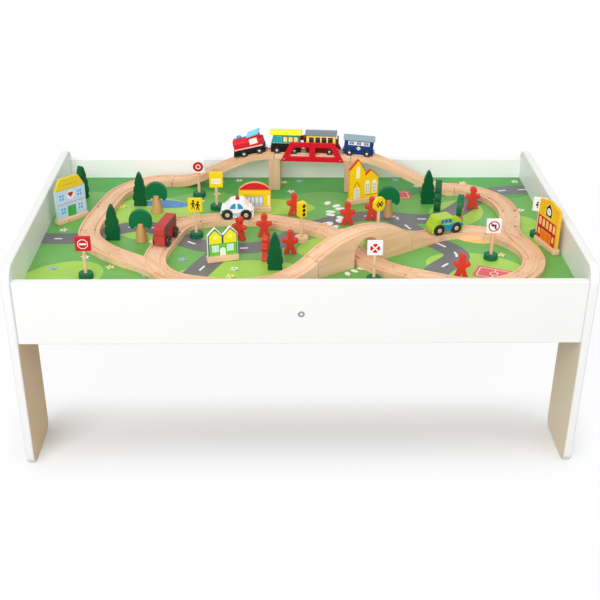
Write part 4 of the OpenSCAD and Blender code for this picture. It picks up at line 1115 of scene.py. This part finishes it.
def makeStation():
    s = station
    half = s["half"]
    eaves = s["eaves"]
    crown = bowed(half, s["top"] - eaves, s["top"], 20)
    inner = [(x * 0.975, eaves + (z - eaves) * 0.93) for x, z in crown]
    marks = [(0, "gold", rect(-31.2, ground, 31.2, 36)), (0, "rim", crown), (1, "red", inner),
             (1, "lintel", rect(-31.2, 34, 31.2, 36))]
    marks += [(1, "pale", post(x, 2.4, ground, 24)) for x in (-27.5, 27.5)]
    marks += [(1, "gate", rect(-17, ground, 17, 22)), (1, "ledge", rect(-21, 24.4, 21, 25.6))]
    for x in (-12.2, -4.1, 4.1, 12.2):
        marks += [(2, "grey", post(x, 3.5, ground, 20.8)), (3, "glass", post(x, 2.5, 8, 19.6))]
    makeHouse("station", "station", [(-half, 0), (half, 0)] + crown, s, marks, eaves)


chapel = tints(gold=(255, 210, 16), roof=(226, 56, 26), rust=(206, 92, 22), white=(252, 250, 236),
               grey=(200, 202, 196), glow=(255, 244, 150), mullion=(250, 226, 110), leaf=(226, 226, 222),
               frame=(255, 240, 140), edge=(246, 178, 20))


def makeChapel():
    outline = [(-32, 0), (32, 0), (32, 45.5), (14.4, 60.5), (2.2, 50), (2.2, 59.5), (-13.1, 85), (-32, 64)]
    wall = [(-31.3, ground), (31.3, ground), (31.3, 45.2), (14.4, 59.6), (2.2, 49.2), (1.6, 59.2),
            (-13.1, 83.8), (-31.3, 63.6)]
    tall = [(-31.5, 63.8), (-13.1, 84.2), (1.8, 59.4), (1.8, 56.4), (-13.1, 81.6), (-31.5, 61.6)]
    small = [(2.4, 49.4), (14.4, 59.9), (31.5, 45.4), (31.5, 43.2), (14.4, 57.6), (2.4, 47.2)]
    porch = [(-23.4, 25.4), (-15.2, 37.6), (-7, 25.4), (-9, 25.4), (-15.2, 34.8), (-21.4, 25.4)]
    marks = [(0, "gold", wall)] + [(1, "rust", line) for line in (tall, small, porch)]
    marks += [(1, "glow", arched(-13.6, 44, 8, 26)), (2, "white", arched(-13.6, 45.6, 5, 22.8)),
              (3, "mullion", rect(-14.1, 45.6, -13.1, 67)), (1, "white", arched(-15.3, ground, 12, 23.6)),
              (2, "grey", arched(-15.3, ground, 9, 21))]
    marks += [(3, "leaf", arched(x, ground, 3.8, 17.6)) for x in (-17.5, -13.1)]
    for x in (7.6, 23.2):
        marks += [(1, "frame", arched(x, 8.6, 11, 29)), (2, "white", arched(x, 9.6, 8.4, 26.6))]
        marks += [(3, "grey", post(x + k, 1.4, z, z + 5.6)) for k in (-2, 2) for z in (10.6, 17.4, 24.2)]
    marks.append((1, "rust", rect(2.4, 5.2, 28.6, 6.6)))
    makeHouse("chapel", "chapel", outline, chapel, marks, 44)


twin = tints(white=(248, 248, 246), navy=(24, 72, 112), yellow=(240, 232, 40), green=(112, 200, 62),
             pane=(206, 228, 240), sun=(250, 244, 130), seam=(214, 222, 228),
             edge=(248, 248, 246))


def makeTwinHouse():
    outline = [(-28, 0), (28, 0), (28, 42), (14, 56), (0, 40), (-14, 56), (-28, 42)]
    wall = [(-27, ground), (27, ground), (27, 41.4), (14, 54.2), (0, 38.2), (-14, 54.2), (-27, 41.4)]
    marks = [(0, "navy", wall),
             (1, "yellow", [(-25, 24.5), (-1.6, 24.5), (-1.6, 38), (-14, 51), (-25, 40.4)]),
             (1, "yellow", [(1.6, 24.5), (25.6, 24.5), (25.6, 40.6), (14, 51.4), (1.6, 38)]),
             (1, "green", rect(-25, ground, 25.6, 24)), (2, "navy", rect(-1.6, 24, 1.6, 41))]
    for x in (-13.6, 14):
        marks += [(2, "white", post(x, 6, 8.4, 21.6)), (3, "pane", rect(x - 4.8, 9.6, x - 0.5, 20.4)),
                  (3, "pane", rect(x + 0.5, 9.6, x + 4.8, 20.4)), (2, "sun", disc(x, 37, 4.2, 16))]
    marks += [(2, "white", arched(0, ground, 10.5, 15.6)), (3, "seam", post(0, 0.4, ground, 13))]
    makeHouse("twin", "twin_house", outline, twin, marks)


brigade = tints(gold=(250, 196, 24), red=(206, 40, 28), cream=(252, 206, 130), navy=(28, 40, 62),
                orange=(242, 122, 16), ledge=(250, 222, 60), sill=(170, 26, 22), gate=(252, 178, 90),
                glow=(250, 232, 130), dial=(250, 250, 248), hand=(210, 40, 50), edge=(250, 190, 60))


def makeFireStation():
    outline = [(-35, 0), (35, 0), (35, 75), (0, 83), (-35, 75)]
    wall = [(-34.2, ground), (34.2, ground), (34.2, 74.4), (0, 82), (-34.2, 74.4)]
    marks = [(0, "gold", wall), (1, "red", rect(-34.2, ground, 30, 46)),
             (1, "ledge", rect(-34.2, 46, 34.2, 47.6)), (2, "sill", rect(-34.2, 22.4, 30, 24.6)),
             (2, "gate", rect(-20, ground, 15, 21)), (3, "orange", rect(-18, ground, -3, 19.4)),
             (3, "orange", rect(-1.8, ground, 13.2, 19.4)),
             (1, "glow", [(-11.6, 50.4), (11.6, 50.4), (11.6, 67.4), (0, 78.6), (-11.6, 67.4)]),
             (2, "navy", [(-10, 51.6), (10, 51.6), (10, 66.8), (0, 76.6), (-10, 66.8)]),
             (3, "dial", disc(0, 61.4, 7)), (4, "hand", rect(-0.6, 61, 0.6, 66.4)),
             (4, "hand", rect(-0.4, 60.9, 4, 61.9))]
    marks += [(2, "cream", arched(-26 + 12.4 * i, 27, 8, 16)) for i in range(5)]
    marks += [(2, "cream", arched(x, 8, 7, 12)) for x in (-27, 22.5)]
    makeHouse("brigade", "fire_station", outline, brigade, marks)


makeFeet()
makeClinic()
makeStation()
makeChapel()
makeTwinHouse()
makeFireStation()
print("houses built")

signs = {"size": 27, "thick": 6, "height": 79, "middle": 13.5, "places": (
             (-377, -200, 2), (-203, 174, 0), (-163, 107, 0), (-195, -28, 0), (5, -48, 35), (151, -25, 36),
             (128, -219, 0), (350, -127, 0), (456, -28, -20)),
         "faces": ("red", "white", "yellow", "yellow", "yellow", "yellow", "white", "white", "white"),
         **tints(white=(246, 246, 244), red=(206, 28, 40), yellow=(248, 218, 20), black=(24, 24, 26),
                 green=(16, 104, 66), paper=(250, 246, 214), line=(190, 180, 120), lens=(60, 50, 20))}
octagonSign, boardSign, lightSign = 5, 2, 4


def walker(x, z, k):
    body = [(-2.2, 0), (-0.9, 0), (0.4, 4.2), (1.8, 0), (3.2, 0), (1.6, 6), (1.5, 8), (3.4, 6.2), (4, 7),
            (1.6, 10.6), (-0.4, 10.8), (-2.6, 8.6), (-3.2, 6), (-2.2, 5.8), (-1.6, 7.8), (-0.8, 8.4),
            (-0.8, 5.4)]
    return [placed(body, x, z, 0, k), disc(x + 0.9 * k, z + 12.6 * k, 1.7 * k, 14)]


# the marks of each sign, in the order of their places
def signMarks():
    m = signs["middle"]
    arrow = [(4.2, m - 5.4), (4.2, m + 3.6), (-1.4, m + 3.6), (-1.4, m + 5.8), (-5.6, m + 2.4), (-1.4, m - 1),
             (-1.4, m + 1.2), (1.8, m + 1.2), (1.8, m - 5.4)]
    lights = (4, 12.5, 21)
    return [[(0, "white", arc(0, m, 9.6, 22, 337, 7)), (1, "red", arc(0, m, 8.256, 22, 337, 7)),
             (2, "white", rect(-6, m - 1.7, 6, m + 1.7))],
            [(0, "red", disc(0, m, 10.6, 32)), (1, "white", disc(0, m, 5.2, 24)),
             (2, "red", disc(0, m, 3.4, 20))],
            [(0, "paper", softRect(-9, 3, 9, 14, 1.4)), (1, "line", rect(-6.5, 8, 6.5, 9))],
            [(0, "black", o) for o in walker(-4.4, 6.4, 1.25) + walker(4.2, 3.6, 1.3)],
            [(0, "lens", disc(0, z, 3.6, 18)) for z in lights]
            + [(1, "black", disc(0, z, 2.6, 16)) for z in lights],
            [(0, "black", bar(0, m, 15, 2.6, 45)), (0, "black", disc(-6.2, m, 2.1, 14)),
             (0, "black", disc(6.2, m, 2.1, 14)), (1, "black", bar(0, m, 15, 2.6, -45))],
            [(0, "red", disc(0, m, 8.6, 28)), (1, "white", bar(0, m, 20, 2.4, 45)),
             (2, "white", bar(0, m, 20, 2.4, -45))],
            [(0, "red", disc(0, m, 10.4, 32)), (1, "white", disc(0, m, 8.2, 28)),
             (2, "red", bar(0, m, 17, 2, -45)), (3, "black", arrow)],
            [(0, "black", disc(-4.5, 18, 1.8, 14)), (0, "black", disc(-4.5, 8.5, 1.4, 14)),
             (0, "black", disc(-5.2, 13.2, 2.6, 16))]]


def makeSigns():
    s = signs
    size = s["size"]
    half = size / 2
    cut = size * 0.28
    foot = s["height"] - size
    eight = [(cut - half, 0), (half - cut, 0), (half, cut), (half, size - cut), (half - cut, size),
             (cut - half, size), (-half, size - cut), (-half, cut)]
    outlines = {octagonSign: eight, lightSign: rect(-7, -1, 7, size), boardSign: rect(-half, -5, half, size)}
    baseShape = [(0, 0), (12.4, 0), (13, 0.6), (13, 8.2), (12.5, 9.4), (11.4, 10), (4.2, 10), (3.4, 9.5),
                 (2.9, 9.2)]
    plates = newPart()
    posts = newPart()
    bases = newPart()
    for i, (spot, marks) in enumerate(zip(s["places"], signMarks())):
        stand = seat(spot, boardTop)
        thick = 14 if i == lightSign else s["thick"]
        outline = outlines.get(i) or softRect(-half, 0, half, size, 1.4)
        top = stand @ lift(0, 0, foot)
        put(plates, dress(plate(outline, thick), s[s["faces"][i]]), top)
        bothFaces(plates, marks, s, thick / 2, top)
        reach = foot + min(z for x, z in outline) + 0.2
        stick = lathe([(0, 4), (3, 4), (3, reach), (0, reach)], 20)
        put(posts, dress(stick, fibres=upright, tone=(i * 0.41) % 1), stand)
        put(bases, dress(lathe(baseShape, 40), s["green"], 1 if i == lightSign else 0, upright), stand)
    finishPiece("sign_faces", plates, [satinPaint], "sign_plates")
    finishPiece("sign_sticks", posts, [beech], "sign_posts")
    finishPiece("sign_discs", bases, [satinPaint, beech], "sign_bases")


makeSigns()
print("signs built")

# a round tree has its trunk's foot radius and tone after its place
trees = {"pine": tint(0, 88, 48), "crown": tint(4, 110, 62), "pineThick": 12, "crownThick": 10, "height": 71,
         "width": 29, "crownRadius": 21.5, "crownTop": 63.5,
         "pines": ((-441, 161, 60), (-319, 126, 0), (-352, -40, 0), (-45, -169, 0), (266, 135, 0),
                   (279, 84, 75)),
         "rounds": (((-282, 92, 0), 12, 0.1), ((-297, -46, 0), 12, 0.3), ((179.5, 68, 0), 9.5, 0.9),
                    ((314, 24, 75), 9.5, 0.8))}


# boards of one outline that stand on the play board
def boards(outline, thick, width, colour, spots):
    whole = newPart()
    for spot in spots:
        put(whole, dress(plate(outline, thick, width, 3), colour), seat(spot, boardTop))
    return whole


def makeTrees():
    t = trees
    side = [(0.40, 0), (0.46, 0.03), (0.45, 0.09), (0.36, 0.13), (0.49, 0.19), (0.50, 0.26), (0.45, 0.36),
            (0.38, 0.41), (0.44, 0.46), (0.41, 0.54), (0.29, 0.64), (0.33, 0.69), (0.26, 0.80), (0.13, 0.95),
            (0.05, 1)]
    side = [(x * t["width"], z * t["height"]) for x, z in side]
    pines = boards(side + mirrored(side), t["pineThick"], 1.3, t["pine"], t["pines"])
    finishPiece("pine_set", pines, [satinPaint], "pine_trees")
    r = t["crownRadius"]
    rise = t["crownTop"] - r
    lobe = r * 0.45
    right = [(9, 31)] + arc(r - lobe, rise - r * 0.33, lobe, -70, 10) + arc(0, rise, r, 0, 90, 20)
    outline = [(0, 29.2)] + right + mirrored(right)
    crowns = boards(outline, t["crownThick"], 1.5, t["crown"], [spot for spot, *rest in t["rounds"]])
    trunks = newPart()
    for spot, foot, tone in t["rounds"]:
        trunk = lathe([(0, 0), (foot - 0.8, 0), (foot, 0.8), (foot * 0.86, 11), (foot * 0.72, 22), (7.2, 30),
                       (7, 36.2), (6.4, 37), (0, 37)], 36)
        put(trunks, dress(trunk, fibres=upright, tone=tone), seat(spot, boardTop))
    finishPiece("crown_set", crowns, [satinPaint], "tree_crowns")
    finishPiece("trunk_set", trunks, [trunkWood], "tree_trunks")


people = {"red": tint(216, 62, 44), "thick": 11,
          "places": ((-8, 74, 0), (-112, -41, -40), (-66, -27, 0), (-62, -128, 78), (-17, -103, 0),
                     (96, 29, 0), (146, 55, 0), (354, 108, 0), (284, -203, 0))}


def makePeople():
    side = ([(3.2, 0), (10.5, 0)] + arc(8.5, 3, 3, -20, 60, 6) + [(5.9, 19)]
            + arc(11.7, 26.6, 3.4, -85, 90, 10) + [(4.8, 30.4)] + arc(0, 40, 6.5, -52, 90, 16))
    outline = side + mirrored(side) + [(0, 11)]
    whole = boards(outline, people["thick"], 1.2, people["red"], people["places"])
    finishPiece("people_set", whole, [satinPaint], "little_people")


makeTrees()
makePeople()
print("trees and people built")


# a smooth line through the points
def route(*points, steps=16):
    made = []
    pts = [points[0], *points, points[-1]]
    for knots in zip(pts, pts[1:], pts[2:], pts[3:]):
        for i in range(steps):
            t = i / steps
            spot = []
            for a, b, c, d in zip(*knots):
                bow = 2 * a - 5 * b + 4 * c - d
                twist = 3 * b - a - 3 * c + d
                spot.append(0.5 * (2 * b + (c - a) * t + bow * t * t + twist * t ** 3))
            made.append(tuple(spot))
    made.append(points[-1])
    return made


def ribbon(line, half):
    left = []
    right = []
    for i, (x, y) in enumerate(line):
        a = line[max(i - 1, 0)]
        b = line[min(i + 1, len(line) - 1)]
        d = math.hypot(b[0] - a[0], b[1] - a[1]) or 1.0
        nx = -(b[1] - a[1]) / d
        ny = (b[0] - a[0]) / d
        left.append((x + nx * half, y + ny * half))
        right.append((x - nx * half, y - ny * half))
    return left + right[::-1]


def dashes(line, length, gap, half):
    made = []
    walked = 0.0
    run = []
    for a, b in zip(line, line[1:]):
        walked += math.hypot(b[0] - a[0], b[1] - a[1])
        if walked % (length + gap) < length:
            run.append(b)
        else:
            if len(run) > 2:
                made.append(ribbon(run, half))
            run = []
    return made


def blossom(x, y, r, turn):
    points = disc(0, 0, 1, 10)
    return placed([(u * k, v * k) for (u, v), k in zip(points, (r * 0.45, r) * 5)], x, y, turn)


# ovals are x, y, two radii and a turn; courts are x, y, scale and turn
mat = {"half": (486, 281), "trim": (485.5, 280.5), "low": (-491, -286, 332), "high": (491, 286, boardTop),
       "lines": (route((-520, -30), (-420, -34), (-300, 20), (-180, -70), (-60, -70), (30, 20), (140, 70),
                       (280, 60), (400, 190), (520, 210)),
                 route((-230, -320), (-190, -200), (-150, -110), (-120, -66)),
                 route((190, 74), (230, -20), (290, -110), (240, -190), (230, -320))),
       "lawns": ((-285, 60, 92, 112, 20), (-110, -188, 116, 54, 8), (318, -165, 92, 60, -20),
                 (60, -70, 70, 44, 30), (318, 84, 70, 52, 60), (-425, -205, 84, 60, 40),
                 (-60, 120, 96, 40, -6), (440, 0, 46, 74, 10)),
       "ponds": ((-268, 132, 46, 20, -8), (60, -240, 52, 26, 4)),
       "sands": ((-60, -232, 62, 30, 6), (330, -30, 46, 26, -30)),
       "courts": ((-225, 42, 0.9, 8), (345, -190, 0.85, -24), (205, 178, 0.8, 4)),
       **tints(green=(108, 178, 82), deep=(72, 164, 66), lime=(166, 212, 80), road=(110, 109, 112),
               dash=(246, 246, 244), pond=(62, 136, 208), ripple=(120, 180, 228), sand=(246, 206, 132),
               stone=(246, 247, 240), yellow=(250, 240, 160), court=(228, 94, 92), heart=(222, 150, 50),
               bluet=(150, 190, 236), leaf=(88, 148, 60), core=(214, 196, 170))}


def groundMarks():
    m = mat
    w, h = m["half"]
    wave = [(-w + 27 * i, 178 + 22 * math.sin(i * 0.7)) for i in range(37)]
    marks = [(0, "green", rect(-w, -h, w, h)), (1, "deep", wave + [(w, h), (-w, h)])]
    marks += [(2, "lime", oval(*lawn, 40)) for lawn in m["lawns"]]
    marks += [(3, "pond", oval(*pond, 30)) for pond in m["ponds"]]
    marks += [(3, "sand", oval(*sand, 30)) for sand in m["sands"]]
    for i, line in enumerate(m["lines"]):
        marks.append((4 + i, "road", ribbon(line, 24)))
        marks += [(7, "dash", dash) for dash in dashes(line, 26, 24, 2.2)]
    for x, y, *rest in m["ponds"]:
        for d in (-9, 0, 9):
            crest = [(x + u * 7 - 28, y + d + 2.4 * math.sin(u * 1.6)) for u in range(9)]
            marks.append((7, "ripple", ribbon(crest, 1.3)))
    return marks


def courtMarks():
    shapes = [(8, "court", softRect(-40, -27, 40, 27, 5)), (9, "dash", softRect(-34, -21, 34, 21, 5)),
              (10, "court", softRect(-32, -19, 32, 19, 5)), (11, "dash", disc(0, 0, 9)),
              (11, "dash", rect(-1, 8.5, 1, 19.6)), (11, "dash", rect(-1, -19.6, 1, -8.5)),
              (12, "court", disc(0, 0, 7))]
    return [(level, colour, placed(shape, x, y, turn, k))
            for x, y, k, turn in mat["courts"] for level, colour, shape in shapes]


# flowers keep clear of the other marks; their places come from a small number series
def flowerMarks(stones):
    m = mat
    taken = [(x, y, 70) for x, y, *rest in m["ponds"] + m["sands"]]
    taken += [(x, y, 58) for x, y, *rest in m["courts"]]
    taken += [(x, y, 24) for x, y, *rest in stones] + [(x, y, 38) for line in m["lines"] for x, y in line]
    state = 7
    spots = []
    for i in range(900):
        state = (state * 1103515245 + 12345) % 2147483648
        x = -470 + 940 * (state >> 8 & 1023) / 1023
        state = (state * 1103515245 + 12345) % 2147483648
        y = -270 + 540 * (state >> 8 & 1023) / 1023
        if len(spots) < 60 and all(math.hypot(x - u, y - v) > r for u, v, r in taken):
            spots.append((x, y, state % 72))
            taken.append((x, y, 30))
    marks = []
    for i, (x, y, turn) in enumerate(spots):
        petal = ("yellow", "stone", "yellow", "bluet")[i % 4]
        marks += [(4, "leaf", oval(x + 5, y - 6, 6, 2.2, turn, 12)), (5, petal, blossom(x, y, 10.5, turn)),
                  (6, "heart", disc(x, y, 2.6, 10))]
    return marks


def makeMat():
    m = mat
    stones = [(74 + 13 * math.sin(i * 1.7), -14 + i * 15, 10, 6.5, 25 * i) for i in range(11)]
    stones += [(-20 + i * 13, -178 + 12 * math.sin(i * 2.1), 8, 5, 35 * i) for i in range(11)]
    marks = groundMarks() + courtMarks() + flowerMarks(stones)
    marks += [(7 + i % 2, "stone", oval(*stone, 16)) for i, stone in enumerate(stones)]
    part = inks(marks, m, 0, -1)
    part.transform(spun(-90, "X"))
    x, y = m["trim"]
    for end in sides:
        for edge in (Vector((end * x, 0, 0)), Vector((0, end * y, 0))):
            geom = part.verts[:] + part.edges[:] + part.faces[:]
            bmesh.ops.bisect_plane(part, geom=geom, dist=0.0001, plane_co=edge, plane_no=edge.normalized(),
                                   clear_outer=True)
    whole = dress(brick(m["low"], m["high"], 0), m["core"])
    put(whole, part, lift(0, 0, boardTop))
    finishPiece("play_board_print", whole, [playPrint], "play_board")


makeMat()
print("play board built")
